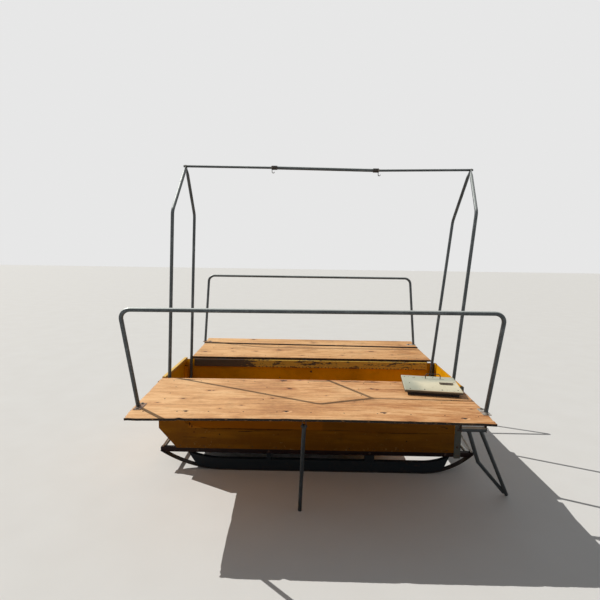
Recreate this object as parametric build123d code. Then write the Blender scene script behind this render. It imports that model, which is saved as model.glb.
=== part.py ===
from build123d import *
import os
from math import cos, hypot, pi, radians, sin

# Box sled on two ski runners, in millimetres. X runs along the sled with the
# tow end at -X, Y runs across it with the near side at -Y, and Z is up from
# the ground. Lengths are worked out from the middle of the side decks, and the
# finished part is moved so that its own middle stands at the origin.

# Tub, a plywood box
tub_half_width = 378
wall = 12
tub_top = 704
floor_bottom = 175
floor_thickness = 12
tub_front = -1165
tub_rear = 1194
board_rear = 1142
knee_height = 333
rake_run = 139
panel_depth = 3
panel_step = 330
panel_front = -800
panel_slant = 46
hatch_front = 665
hatch_rear = 1035
hatch_half_width = 180

# Rails, sills and beams
rail_thickness = 20
rail_height = 60
rail_front = -1060
rail_rear = 1105
post_thickness = 4
post_drop = 45
cleat = 30
sill_height = 36
sill_width = 38
sill_inset = 6
sill_front = -1155
sill_rear = 1300
beam_width = 40
beam_places = (-860, -303, 490, 1080)
side_post_widths = {-303: 32, 490: 75}

# Ski runners
shoe_thickness = 6
shoe_width = 50
runner_height = 90
runner_flange = 38
runner_plate = 5
flat_front = -650
flat_rear = 900
front_radius = 950
rear_radius = 570
runner_front_slant = 89
runner_rear_slant = 60
brace_width = 30
brace_thickness = 8

# Cross tubes between the sill tips
cross_tube_radius = 14
rear_tube_inset = 42

# Side decks, hinged on the tub's top edges
deck_thickness = 16
hinge_room = 12
deck_lap = 10
deck_outer = 1212
board_seam = 5
far_board_width = 575
batten_thickness = 19
inner_batten_thickness = 30
batten_inner = (416, 466)
outer_batten_width = 40
outer_batten_inset = 96
batten_end = 20
cross_batten_width = 50
cross_batten_places = (-960, -300, 360, 880)

# Butt hinges
knuckle_radius = 5.5
hinge_pin_radius = 2.5
pin_clearance = 0.3
leaf_thickness = 2.5
leaf_length = 90
knuckle_length = 29
knuckle_gap = 1
tub_leaf_reach = 22
wing_leaf_reach = 47
hinge_places = (-800, 0, 780)

# Round tube of the hoops, gable frames and legs
tube_radius = 12.7
hoop_bend = 63
foot_plate_thickness = 4

# Gable frames and ridge
gable_inset = 48
mast_foot = 450
mast_bend = 80
apex_height = 2400
ridge_end_radius = 9.5
ridge_clamp_radius = 17
ridge_clamp_length = 46
ridge_overhang = 20
ridge_gap = 0.8
socket_half_width = 24
socket_top = 515
socket_floor = 440
fit_gap = 0.2
hook_thickness = 4
hook_width = 12
hook_drop = 20
hook_bend = 9
hook_inset = 4

# Folding legs
leg_pivot_drop = 40
leg_pivot_inset = 66
leg_pin_radius = 5
middle_leg_x = -30
middle_leg_foot = (-50, 917)
ear_thickness = 4
ear_half_width = 16
leg_eye_half = 9
sleeve_front = 912
sleeve_rear = 1054
sleeve_radius = 15
end_pin_radius = 9
bent_tube_top = 955
straight_tube_top = 1028
end_leg_foot = (1436, 667)
end_leg_knee = (1110, 373)
foot_lap = 36

# Loose hatch cover, lying on the near deck
cover_length = 392
cover_width = 375
cover_thickness = 18
cover_batten_height = 25
cover_batten_width = 45
cover_middle = (888, -540)
cover_turn = -7.5
handle_rod = 3

# Flats of the small pins, knuckles and collars
small_flats = 12

deck_bottom = tub_top + hinge_room
deck_top = deck_bottom + deck_thickness
deck_inner = tub_half_width - deck_lap
batten_outer = (deck_outer - outer_batten_inset - outer_batten_width, deck_outer - outer_batten_inset)
hinge_height = (tub_top + deck_bottom) / 2
leg_pivot_height = deck_bottom - leg_pivot_drop
leg_pivot_y = deck_outer - leg_pivot_inset
gable_half_width = tub_half_width - gable_inset
floor_top = floor_bottom + floor_thickness
inner_face = tub_half_width - wall
sill_outer = tub_half_width - sill_inset
sill_inner = sill_outer - sill_width
sill_bottom = floor_bottom - sill_height
rail_inner = inner_face - rail_thickness
knuckle_pitch = knuckle_length + knuckle_gap
NEAR = -1
FAR = 1
SIDES = {"near": NEAR, "far": FAR}

# X at the two ends of each side deck
DECK_ENDS = {NEAR: (-1100, 1112), FAR: (-1115, 1145)}

# One row for each gable tube: end, side, X at its foot, X at its bend, its
# bend's depth below the apex, and X at the ridge
GABLE_TUBES = (
    ("front", NEAR, -1097, -1044, 386, -1023),
    ("front", FAR, -1092, -1041, 368, -1023),
    ("rear", NEAR, 1103, 1233, 368, 1287),
    ("rear", FAR, 1120, 1270, 394, 1287),
)

# The ridge sags a little: one row for each joint, with X and the sag there
RIDGE_POINTS = ((-1023, 0), (-325, 4), (546, 16), (1287, 3))

# One row for each hoop: side, Y of its feet, lean outwards in degrees, size of
# its foot plates along and across the sled, and how far they're set inwards
HOOPS = (
    ("near", 1012, 18.5, (50, 120), 10),
    ("far", 1050, 8.0, (96, 46), 26),
)

# X at the foot, X at the top and length, for a hoop's front and rear legs
HOOP_LEGS = {
    "near": ((-1080, -1094, 682), (1108, 1096, 694)),
    "far": ((-1114, -1088, 721), (1142, 1100, 721)),
}


def block(x, y, z):
    """Block that spans three (low, high) pairs."""
    size = [high - low for low, high in (x, y, z)]
    middle = [(high + low) / 2 for low, high in (x, y, z)]
    return Pos(*middle) * Box(*size)


def on_side(side, near_edge, far_edge):
    """Span across the sled between two distances from the middle."""
    return tuple(sorted((side * near_edge, side * far_edge)))


def pull_across(outline, y):
    """Outline in X and Z, pulled along Y over a (low, high) pair."""
    low, high = y
    plane = Plane(origin=(0, high, 0), x_dir=(1, 0, 0), z_dir=(0, -1, 0))
    return extrude(plane * outline, amount=high - low)


def outline(*points):
    """Flat outline through a list of corners."""
    return make_face(Polyline(*points, close=True))


def tube(points, radius, bend=0):
    """Round bar along straight runs, with bends of one radius."""
    path = FilletPolyline(*points, radius=bend) if bend else Polyline(*points)
    start = Plane(origin=path @ 0, z_dir=path % 0)
    return sweep(start * Circle(radius), path=path)


def bar_y(x, z, radius, y):
    """Round bar along Y over a (low, high) pair."""
    return pull_across(Pos(x, z) * Circle(radius), y)


def bar_x(y, z, radius, x, flats=0):
    """Round or many-sided bar along X over a (low, high) pair."""
    low, high = x
    plane = Plane(origin=(low, 0, 0), x_dir=(0, 1, 0), z_dir=(1, 0, 0))
    section = RegularPolygon(radius, flats) if flats else Circle(radius)
    return extrude(plane * Pos(y, z) * section, amount=high - low)


def small_bar(y, z, radius, x):
    """Small many-sided pin or knuckle along X."""
    return bar_x(y, z, radius, x, small_flats)


def small_bore(y, z, radius, x):
    """Many-sided hole along X that a small pin of one radius can turn in."""
    return bar_x(y, z, (radius + pin_clearance) / cos(pi / small_flats), x, small_flats)


# Tub

rake_top = (tub_front, knee_height)
rake_bottom = (tub_front + rake_run, floor_bottom)
rake_length = hypot(rake_run, knee_height - floor_bottom)
rake_normal = ((knee_height - floor_bottom) / rake_length, rake_run / rake_length)
rake_shift = wall / rake_normal[0]


def side_board(side):
    """Side board with a raked front end and a shallow recessed upper panel."""
    board = pull_across(
        outline(
            (tub_front, tub_top),
            (board_rear, tub_top),
            (board_rear, floor_bottom),
            rake_bottom,
            rake_top,
        ),
        on_side(side, inner_face, tub_half_width),
    )
    recess = pull_across(
        outline(
            (panel_front - panel_slant, tub_top + 1),
            (board_rear + 1, tub_top + 1),
            (board_rear + 1, panel_step),
            (panel_front + panel_slant / 2, panel_step),
            (panel_front - panel_slant / 2, panel_step + panel_slant),
        ),
        on_side(side, tub_half_width - panel_depth, tub_half_width + 1),
    )
    return board - recess


def front_wall():
    """Upright board across the tow end."""
    return block(
        (tub_front, tub_front + wall),
        (-inner_face, inner_face),
        (knee_height + rake_normal[1] * wall, tub_top),
    )


def front_rake():
    """Sloping board that turns the floor up into the tow end."""
    return pull_across(
        outline(
            rake_top,
            rake_bottom,
            (rake_bottom[0] + rake_shift, rake_bottom[1]),
            (tub_front + wall, knee_height + rake_normal[1] * wall),
            (tub_front, knee_height + rake_normal[1] * wall),
        ),
        (-inner_face, inner_face),
    )


wall_rear_face = tub_rear - post_thickness


def rear_wall():
    """Upright board across the back."""
    return block(
        (wall_rear_face - wall, wall_rear_face),
        (-inner_face, inner_face),
        (floor_bottom, tub_top),
    )


def rear_posts():
    """Steel angles at the two rear corners."""
    posts = Part()
    for side in SIDES.values():
        posts += block(
            (board_rear, tub_rear),
            on_side(side, tub_half_width - post_thickness, tub_half_width),
            (sill_bottom - post_drop + sill_height, tub_top),
        )
        posts += block(
            (wall_rear_face, tub_rear),
            on_side(side, sill_inner, tub_half_width - post_thickness),
            (floor_bottom, tub_top),
        )
    return posts


def front_cleats():
    """Square timber glued into the two front corners."""
    cleats = Part()
    for side in SIDES.values():
        cleats += block(
            (tub_front + wall, tub_front + wall + cleat),
            on_side(side, inner_face - cleat, inner_face),
            (knee_height + 2 * wall, tub_top - rail_height),
        )
    return cleats


def rail(side):
    """Timber rail inside a side's top edge."""
    return block(
        (rail_front, rail_rear),
        on_side(side, rail_inner, inner_face),
        (tub_top - rail_height, tub_top),
    )


floor_front = rake_bottom[0] + rake_shift
floor_rear = wall_rear_face - wall


def floor_boards():
    """Floor in four boards round the floor hatch."""
    height = (floor_bottom, floor_top)
    across = (-inner_face, inner_face)
    strips = Part()
    for side in SIDES.values():
        strips += block((hatch_front, hatch_rear), on_side(side, hatch_half_width, inner_face), height)
    return {
        "floor_front": block((floor_front, hatch_front), across, height),
        "floor_rear": block((hatch_rear, floor_rear), across, height),
        "floor_strips": strips,
    }


# Runners


def runner_band(low, high, front, rear):
    """Strip between two heights above the runner's sole, in X and Z."""
    bands = Pos((flat_front + flat_rear) / 2, (low + high) / 2) * Rectangle(flat_rear - flat_front, high - low)
    for start, end, radius in ((flat_front, front, front_radius), (flat_rear, rear, rear_radius)):
        ring = Circle(radius - low) - Circle(radius - high)
        window = Pos((start + end) / 2, radius / 2) * Rectangle(abs(end - start), radius)
        bands += (Pos(start, radius) * ring) & window
    return bands


def shoe(side):
    """Flat steel sole, turned up at both ends to the sill's tips."""
    middle = sill_outer - sill_width / 2
    return pull_across(
        runner_band(0, shoe_thickness, sill_front, sill_rear),
        on_side(side, middle - shoe_width / 2, middle + shoe_width / 2),
    )


def runner(side):
    """Steel channel on the sole, with its ends cut on a slant below the sill."""
    web = (sill_outer - runner_plate, sill_outer)
    flange = (sill_outer - runner_flange, sill_outer)
    channel = pull_across(runner_band(shoe_thickness, runner_height, sill_front, sill_rear), on_side(side, *web))
    for low in (shoe_thickness, runner_height - runner_plate):
        channel += pull_across(
            runner_band(low, low + runner_plate, sill_front, sill_rear),
            on_side(side, *flange),
        )
    trim = pull_across(
        outline(
            (runner_reach(flat_front, front_radius), sill_bottom),
            (runner_reach(flat_rear, rear_radius), sill_bottom),
            (runner_reach(flat_rear, rear_radius) - runner_rear_slant, 0),
            (runner_reach(flat_front, front_radius) + runner_front_slant, 0),
        ),
        on_side(side, 0, tub_half_width + shoe_width),
    )
    return channel & trim


def runner_reach(start, radius):
    """X at which the channel's top rises to the sill."""
    drop = radius - sill_bottom
    reach = ((radius - runner_height) ** 2 - drop**2) ** 0.5
    return start + (reach if start > 0 else -reach)


def sill(side):
    """Timber under a side, hollowed at its tips to sit on the sole."""
    timber = block((sill_front, sill_rear), on_side(side, sill_inner, sill_outer), (sill_bottom, floor_bottom))
    below = pull_across(
        runner_band(-shoe_width, shoe_thickness, sill_front - 1, sill_rear + 1),
        on_side(side, 0, tub_half_width + shoe_width),
    )
    return timber - below


def cross_beams():
    """Timbers between the sills, under the floor."""
    beams = Part()
    for place in beam_places:
        beams += block(
            (place - beam_width / 2, place + beam_width / 2),
            (-sill_inner, sill_inner),
            (sill_bottom, floor_bottom),
        )
    return beams


def runner_posts():
    """Short posts between the channels and the sills."""
    posts = Part()
    for side in SIDES.values():
        for place, width in side_post_widths.items():
            posts += block(
                (place - width / 2, place + width / 2),
                on_side(side, sill_outer - runner_flange, sill_outer - runner_plate),
                (runner_height, sill_bottom),
            )
    return posts


def tip_braces():
    """Flat bars from the sill's tips up to the tub's ends."""
    braces = Part()
    front_foot = (sill_front + 6, floor_bottom)
    front_head = (tub_front + rake_run * 0.5, (knee_height + floor_bottom) / 2)
    rear_foot = (sill_rear - 6, floor_bottom)
    rear_head = (tub_rear, knee_height)
    for side in SIDES.values():
        for (x0, z0), (x1, z1) in ((front_foot, front_head), (rear_foot, rear_head)):
            step = brace_thickness if x1 > x0 else -brace_thickness
            braces += pull_across(
                outline((x0, z0), (x0 + step * 2, z0), (x1, z1 - brace_thickness * 2), (x1, z1)),
                on_side(side, sill_inner, sill_inner + brace_width),
            )
    return braces


def cross_tube(x):
    """Round tube between the sill's tips."""
    return bar_y(x, (sill_bottom + floor_bottom) / 2 + 4, cross_tube_radius, (-sill_inner, sill_inner))


# Gable frames and ridge


def gable_points(side, foot_x, bend_x, bend_depth, apex_x):
    """Foot, bend and ridge end of one gable tube."""
    y = side * gable_half_width
    return (foot_x, y, mast_foot), (bend_x, y, apex_height - bend_depth), (apex_x, 0, apex_height)


def ridge_tube(index, radius, lengthen=(0, 0)):
    """One length of the ridge, between two of its joints."""
    (x0, sag0), (x1, sag1) = RIDGE_POINTS[index : index + 2]
    slope = (sag0 - sag1) / (x1 - x0)
    before, after = lengthen
    start = (x0 - before, 0, apex_height - sag0 - before * slope)
    end = (x1 + after, 0, apex_height - sag1 + after * slope)
    return tube((start, end), radius)


def gable_tube(side, foot_x, bend_x, bend_depth, apex_x):
    """Bent tube from the tub's side up to the ridge."""
    bent = tube(gable_points(side, foot_x, bend_x, bend_depth, apex_x), tube_radius, mast_bend)
    half = block(
        (apex_x - 400, apex_x + 400),
        on_side(side, fit_gap, tub_half_width + 100),
        (0, apex_height + 100),
    )
    index = 0 if apex_x < 0 else 2
    return (bent & half) - ridge_tube(index, ridge_end_radius + fit_gap, (60, 60))


def socket(side, foot_x, bend_x, bend_depth, apex_x):
    """Timber block with a blind bore, which holds a gable tube's foot."""
    timber = block(
        (foot_x - socket_half_width, foot_x + socket_half_width),
        on_side(side, gable_half_width - tube_radius - 7, inner_face),
        (socket_floor, socket_top),
    )
    foot, bend, _ = gable_points(side, foot_x, bend_x, bend_depth, apex_x)
    return timber - tube((foot, bend), tube_radius + fit_gap)


def ridge_clamps():
    """Split collars over the ridge's two joints."""
    clamps = Part()
    for (x, sag), outward in ((RIDGE_POINTS[1], -1), (RIDGE_POINTS[2], 1)):
        span = sorted((x - outward * ridge_clamp_length, x))
        collar = small_bar(0, apex_height - sag, ridge_clamp_radius, span)
        clamps += collar - ridge_tube(1, tube_radius + fit_gap, (60, 60))
    return clamps


def ridge_hooks():
    """Open hooks of bent flat steel under the ridge's clamps."""
    hooks = Part()
    ring = Circle(hook_bend + hook_thickness / 2) - Circle(hook_bend - hook_thickness / 2)
    bend = ring & Pos(0, -hook_bend) * Rectangle(4 * hook_bend, 2 * hook_bend)
    for (x, sag), outward in ((RIDGE_POINTS[1], -1), (RIDGE_POINTS[2], 1)):
        x -= outward * hook_inset
        centre = apex_height - sag
        top = centre - ridge_clamp_radius + hook_thickness
        low = top - hook_drop
        hook = pull_across(
            Pos(x + hook_bend, low) * bend + Pos(x, (top + low) / 2) * Rectangle(hook_thickness, top - low),
            (-hook_width / 2, hook_width / 2),
        )
        hooks += hook - small_bar(0, centre, ridge_clamp_radius, (x - hook_thickness, x + hook_thickness))
    return hooks


# Side decks and hoops


def deck_board(side, inner, outer):
    """Plywood board of a side deck."""
    return block(DECK_ENDS[side], on_side(side, inner, outer), (deck_bottom, deck_top))


def deck_battens(side):
    """Two long battens under a side deck, with cross battens let in between them."""
    battens = Part()
    front, rear = DECK_ENDS[side]
    for place in cross_batten_places:
        battens += block(
            (place - cross_batten_width / 2, place + cross_batten_width / 2),
            on_side(side, batten_inner[1], batten_outer[0]),
            (deck_bottom - batten_thickness, deck_bottom),
        )
    for (inner, outer), thickness in ((batten_inner, inner_batten_thickness), (batten_outer, batten_thickness)):
        battens += block(
            (front + batten_end, rear - batten_end),
            on_side(side, inner, outer),
            (deck_bottom - thickness, deck_bottom),
        )
    return battens


def hoop(word, foot_y, lean, plate, plate_inset):
    """Leaning rail hoop, welded to flat foot plates that lie on the deck."""
    side = SIDES[word]
    out = (side * sin(radians(lean)), cos(radians(lean)))
    legs = HOOP_LEGS[word]

    def along(x, distance):
        return x, side * foot_y + out[0] * distance, deck_top + out[1] * distance

    (front_foot, front_top, front_length), (rear_foot, rear_top, rear_length) = legs
    path = (
        along(front_foot, -tube_radius),
        along(front_top, front_length),
        along(rear_top, rear_length),
        along(rear_foot, -tube_radius),
    )
    whole = tube(path, tube_radius, hoop_bend)
    whole -= block((-3000, 3000), (-3000, 3000), (0, deck_top))
    for x in (front_foot, rear_foot):
        middle = x + plate_inset if x < 0 else x - plate_inset
        whole += block(
            (middle - plate[0] / 2, middle + plate[0] / 2),
            on_side(side, foot_y - plate[1] / 2, foot_y + plate[1] / 2),
            (deck_top, deck_top + foot_plate_thickness),
        )
    return whole


# Hinges


def tub_leaves(side):
    """Hinge leaves on a tub side, each with its middle knuckle and pin."""
    leaves = Part()
    y = side * deck_inner
    for place in hinge_places:
        leaf = block(
            (place - leaf_length / 2, place + leaf_length / 2),
            on_side(side, deck_inner - tub_leaf_reach, deck_inner - knuckle_radius - 1),
            (tub_top, tub_top + leaf_thickness),
        )
        leaf += block(
            (place - knuckle_length / 2, place + knuckle_length / 2),
            on_side(side, deck_inner - tub_leaf_reach, deck_inner),
            (tub_top, tub_top + leaf_thickness),
        )
        leaf += small_bar(y, hinge_height, knuckle_radius, (place - knuckle_length / 2, place + knuckle_length / 2))
        leaf += small_bar(y, hinge_height, hinge_pin_radius, (place - leaf_length / 2, place + leaf_length / 2))
        leaves += leaf
    return leaves


def wing_leaves(side):
    """Hinge leaves under a side deck, each with its two outer knuckles."""
    leaves = Part()
    y = side * deck_inner
    for place in hinge_places:
        leaf = block(
            (place - leaf_length / 2, place + leaf_length / 2),
            on_side(side, deck_inner + knuckle_radius + 1, deck_inner + wing_leaf_reach),
            (deck_bottom - leaf_thickness, deck_bottom),
        )
        for step in (-1, 1):
            middle = place + step * knuckle_pitch
            span = (middle - knuckle_length / 2, middle + knuckle_length / 2)
            leaf += block(
                span,
                on_side(side, deck_inner, deck_inner + wing_leaf_reach),
                (deck_bottom - leaf_thickness, deck_bottom),
            )
            leaf += small_bar(y, hinge_height, knuckle_radius, span)
        leaf -= small_bore(y, hinge_height, hinge_pin_radius, (place - leaf_length, place + leaf_length))
        leaves += leaf
    return leaves


# Folding legs


def above_ground(piece):
    """Piece with what lies below the ground cut away."""
    return piece - block((-3000, 3000), (-3000, 3000), (-400, 0))


def long_line(start, end, extra):
    """Line from start through end, lengthened past it."""
    run = [b - a for a, b in zip(start, end)]
    length = hypot(*run)
    return start, tuple(b + part / length * extra for b, part in zip(end, run))


def middle_leg(side):
    """Leg under the middle of a deck's outer edge, with a flat eye at its top."""
    x = middle_leg_x
    y = leg_pivot_y
    foot_x, foot_y = middle_leg_foot
    pivot = (x, side * y, leg_pivot_height)
    leg = tube(long_line(pivot, (foot_x, side * foot_y, 0), 40), tube_radius)
    leg += bar_x(side * y, leg_pivot_height, tube_radius, (x - leg_eye_half, x + leg_eye_half))
    cheek = tube_radius * 4
    for step in (-1, 1):
        span = sorted((x + step * leg_eye_half, x + step * cheek))
        leg -= block(span, on_side(side, y - cheek, y + cheek), (leg_pivot_height - tube_radius * 2, deck_bottom))
    leg -= small_bore(side * y, leg_pivot_height, leg_pin_radius, (x - cheek, x + cheek))
    return above_ground(leg)


def hangers(side, front, rear, pin_radius):
    """Two ears under a deck, either side of a leg's eye, and the pin through them."""
    pin_span = (front - ear_thickness, rear + ear_thickness)
    bracket = small_bar(side * leg_pivot_y, leg_pivot_height, pin_radius, pin_span)
    for span in ((front - ear_thickness, front), (rear, rear + ear_thickness)):
        bracket += block(
            span,
            on_side(side, leg_pivot_y - ear_half_width, leg_pivot_y + ear_half_width),
            (leg_pivot_height - ear_half_width + 4, deck_bottom),
        )
    return bracket


def middle_bracket(side):
    """Hangers that carry a middle leg."""
    room = leg_eye_half + pin_clearance
    return hangers(side, middle_leg_x - room, middle_leg_x + room, leg_pin_radius)


def end_leg(side):
    """Flat V-shaped leg at a deck's rear corner: a straight tube and a bent one on a sleeve."""
    foot_x, foot_y = end_leg_foot
    knee_x, knee_z = end_leg_knee
    lean = (leg_pivot_y - foot_y) / leg_pivot_height
    straight_top = (straight_tube_top, side * leg_pivot_y, leg_pivot_height)
    bent_top = (bent_tube_top, side * leg_pivot_y, leg_pivot_height)
    knee = (knee_x, side * (foot_y + knee_z * lean), knee_z)
    lap = (foot_x - foot_lap, side * (foot_y + foot_lap * lean), foot_lap)
    leg = tube(long_line(straight_top, (foot_x, side * foot_y, 0), 40), tube_radius)
    leg += tube((bent_top, knee, lap), tube_radius)
    leg += bar_x(side * leg_pivot_y, leg_pivot_height, sleeve_radius, (sleeve_front, sleeve_rear))
    leg -= small_bore(side * leg_pivot_y, leg_pivot_height, end_pin_radius, (sleeve_front - 1, sleeve_rear + 1))
    return above_ground(leg)


def end_bracket(side):
    """Hangers that carry an end leg's sleeve."""
    return hangers(side, sleeve_front - 1, sleeve_rear + 1, end_pin_radius)


# Hatch cover


def on_cover(piece, height):
    """Piece modelled about the cover's middle, laid on the deck at a height."""
    x, y = cover_middle
    return Pos(x, y, deck_top + height) * Rot(0, 0, cover_turn) * piece


def hatch_cover():
    """Square plywood cover."""
    board = Box(cover_length, cover_width, cover_thickness)
    board = fillet(board.edges().filter_by(Axis.Z), 6)
    return on_cover(board, cover_batten_height + cover_thickness / 2)


def cover_battens():
    """Two battens under the cover."""
    battens = Part()
    for step in (-1, 1):
        place = step * (cover_length / 2 - cover_batten_width)
        battens += Pos(place, -20, 0) * Box(cover_batten_width, cover_width - 70, cover_batten_height)
    return on_cover(battens, cover_batten_height / 2)


def cover_latch():
    """Steel plate and bolt on the cover."""
    latch = Pos(110, -10, 1.5) * Box(84, 44, 3)
    latch += Pos(110, -10, 7) * Box(96, 16, 8)
    return on_cover(latch, cover_batten_height + cover_thickness)


def cover_handle():
    """Bent wire handle."""
    path = Polyline((-20, 120, 0), (-20, 120, 24), (-8, 121, 36), (78, 127, 36), (90, 128, 24), (90, 128, 0))
    section = Plane(origin=path @ 0, z_dir=path % 0) * RegularPolygon(handle_rod, 8)
    return on_cover(sweep(section, path=path, transition=Transition.RIGHT), cover_batten_height + cover_thickness)


nodes = {
    "front_wall": front_wall(),
    "front_rake": front_rake(),
    "rear_wall": rear_wall(),
    "rear_posts": rear_posts(),
    "front_cleats": front_cleats(),
    "cross_beams": cross_beams(),
    "runner_posts": runner_posts(),
    "tip_braces": tip_braces(),
    "tow_tube": cross_tube(sill_front + cross_tube_radius),
    "rear_cross_tube": cross_tube(sill_rear - rear_tube_inset),
    "ridge_front": ridge_tube(0, ridge_end_radius, (ridge_overhang, -ridge_gap)),
    "ridge_middle": ridge_tube(1, tube_radius),
    "ridge_rear": ridge_tube(2, ridge_end_radius, (-ridge_gap, ridge_overhang)),
    "ridge_clamps": ridge_clamps(),
    "ridge_hooks": ridge_hooks(),
    "near_deck": deck_board(NEAR, deck_inner, deck_outer),
    "far_deck_inner": deck_board(FAR, deck_inner, deck_inner + far_board_width),
    "far_deck_outer": deck_board(FAR, deck_inner + far_board_width + board_seam, deck_outer),
    "hatch_cover": hatch_cover(),
    "cover_battens": cover_battens(),
    "cover_latch": cover_latch(),
    "cover_handle": cover_handle(),
}
nodes.update(floor_boards())

sockets = Part()
for end, side, *places in GABLE_TUBES:
    word = "near" if side == NEAR else "far"
    nodes[f"{end}_mast_{word}"] = gable_tube(side, *places)
    sockets += socket(side, *places)
nodes["mast_sockets"] = sockets

for word, *sizes in HOOPS:
    nodes[f"{word}_hoop"] = hoop(word, *sizes)

for word, side in SIDES.items():
    nodes[f"{word}_side"] = side_board(side)
    nodes[f"{word}_rail"] = rail(side)
    nodes[f"{word}_sill"] = sill(side)
    nodes[f"{word}_shoe"] = shoe(side)
    nodes[f"{word}_runner"] = runner(side)
    nodes[f"{word}_battens"] = deck_battens(side)
    nodes[f"{word}_tub_leaves"] = tub_leaves(side)
    nodes[f"{word}_wing_leaves"] = wing_leaves(side)
    nodes[f"{word}_middle_leg"] = middle_leg(side)
    nodes[f"{word}_middle_bracket"] = middle_bracket(side)
    nodes[f"{word}_end_leg"] = end_leg(side)
    nodes[f"{word}_end_bracket"] = end_bracket(side)

# The origin is on the ground, under the middle of the whole sled
lows = [piece.bounding_box(optimal=True).min for piece in nodes.values()]
highs = [piece.bounding_box(optimal=True).max for piece in nodes.values()]
middle_x = (min(low.X for low in lows) + max(high.X for high in highs)) / 2
middle_y = (min(low.Y for low in lows) + max(high.Y for high in highs)) / 2
print(f"decks' middle stands at X {-middle_x:.3f}, Y {-middle_y:.3f}")

os.makedirs("parts", exist_ok=True)
for name, piece in nodes.items():
    export_step(Pos(-middle_x, -middle_y, 0) * piece, f"parts/{name}.step")
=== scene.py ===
from math import cos, pi, radians, sin, sqrt

import bmesh
import bpy
from mathutils import Matrix, Vector, noise


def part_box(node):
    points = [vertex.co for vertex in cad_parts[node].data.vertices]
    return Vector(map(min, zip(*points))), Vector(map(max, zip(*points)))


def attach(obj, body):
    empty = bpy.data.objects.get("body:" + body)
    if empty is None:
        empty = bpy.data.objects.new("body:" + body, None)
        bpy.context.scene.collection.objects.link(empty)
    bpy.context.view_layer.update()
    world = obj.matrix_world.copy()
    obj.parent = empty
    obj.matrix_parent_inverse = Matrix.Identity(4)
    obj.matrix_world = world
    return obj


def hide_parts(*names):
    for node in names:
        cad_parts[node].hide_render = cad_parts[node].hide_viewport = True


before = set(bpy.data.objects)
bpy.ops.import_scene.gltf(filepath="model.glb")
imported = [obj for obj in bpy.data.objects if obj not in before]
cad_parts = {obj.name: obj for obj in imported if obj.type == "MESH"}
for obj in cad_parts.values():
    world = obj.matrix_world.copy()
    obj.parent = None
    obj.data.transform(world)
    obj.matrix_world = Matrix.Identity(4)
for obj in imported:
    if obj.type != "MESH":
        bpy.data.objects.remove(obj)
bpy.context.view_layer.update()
mm = 0.001

# Studio. The sled stands on a pale floor and is seen from a standing
# person's eye, a little left of its middle. One soft key stands behind it
# on the left, and the pale room fills the rest.

deck_low, deck_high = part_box("near_deck")
deck_front_x = -1100
deck_middle_x = deck_low.x - deck_front_x * mm
tub_middle_y = (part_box("near_side")[0].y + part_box("far_side")[1].y) / 2


def at_x(x):
    """X in metres from millimetres along the decks."""
    return deck_middle_x + x * mm


def at_y(y):
    """Y in metres from millimetres across the tub."""
    return tub_middle_y + y * mm


def place(x, y, z):
    """Point in metres from millimetres along the decks, across the tub and above the ground."""
    return Vector((at_x(x), at_y(y), z * mm))


# The lens and the camera's place and turn fit the photo's frame of 600 by 600
eye = place(-34.0, -3761.9, 1723.1)
eye_turn = radians(-0.68)
eye_dip = radians(6.17)
eye_roll = radians(0.82)
lens_mm = 27.04
sensor_mm = 36
camera_reach = 200

ahead = Vector((sin(eye_turn) * cos(eye_dip), cos(eye_turn) * cos(eye_dip), -sin(eye_dip)))
level = Vector((cos(eye_turn), -sin(eye_turn), 0))
upright = level.cross(ahead)
right = level * cos(eye_roll) + upright * sin(eye_roll)
up = upright * cos(eye_roll) - level * sin(eye_roll)

camera_data = bpy.data.cameras.new("camera")
camera_data.lens = lens_mm
camera_data.sensor_width = sensor_mm
camera_data.sensor_fit = "HORIZONTAL"
camera_data.clip_end = camera_reach
camera = bpy.data.objects.new("camera", camera_data)
camera.matrix_world = Matrix.Translation(eye) @ Matrix((right, up, -ahead)).transposed().to_4x4()
scene = bpy.context.scene
scene.collection.objects.link(camera)
scene.camera = camera
scene.view_settings.view_transform = "Standard"

key_travel = Vector((0.878, -0.48, -1.0))
key_strength = 3.2
key_spread = radians(0.2)
key_colour = (1.0, 0.97, 0.92)
key_data = bpy.data.lights.new("key", "SUN")
key_data.energy = key_strength
key_data.angle = key_spread
key_data.color = key_colour
key = bpy.data.objects.new("key", key_data)
key.matrix_world = key_travel.to_track_quat("-Z", "Y").to_matrix().to_4x4()
scene.collection.objects.link(key)


def linear(red, green, blue):
    """Colour in linear light from a colour in screen values out of 255."""
    shares = [value / 255 for value in (red, green, blue)]
    return tuple(((s + 0.055) / 1.055) ** 2.4 if s > 0.04045 else s / 12.92 for s in shares)


class Wire:
    """A socket of a tree, so that its maths reads as sums."""

    def __init__(self, tree, socket):
        self.tree = tree
        self.socket = socket

    def maths(self, operation, *values):
        return self.tree.add("ShaderNodeMath", {"operation": operation}, dict(enumerate(values)))

    def __add__(self, other):
        return self.maths("ADD", self, other)

    def __sub__(self, other):
        return self.maths("SUBTRACT", self, other)

    def __rsub__(self, other):
        return self.maths("SUBTRACT", other, self)

    def __mul__(self, other):
        return self.maths("MULTIPLY", self, other)

    def __truediv__(self, other):
        return self.maths("DIVIDE", self, other)

    def __pow__(self, other):
        return self.maths("POWER", self, other)

    def __or__(self, other):
        return self.maths("MAXIMUM", self, other)

    def __and__(self, other):
        return self.maths("MINIMUM", self, other)

    __radd__ = __add__
    __rmul__ = __mul__

    def size(self):
        return self.maths("ABSOLUTE", self)

    def wave(self):
        return self.maths("SINE", self)

    def within(self, low, high, bottom=0.0, top=1.0):
        """Eased step from bottom at low to top at high."""
        values = {"Value": self, "From Min": low, "From Max": high, "To Min": bottom, "To Max": top}
        return self.tree.add("ShaderNodeMapRange", {"interpolation_type": "SMOOTHSTEP"}, values)


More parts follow.
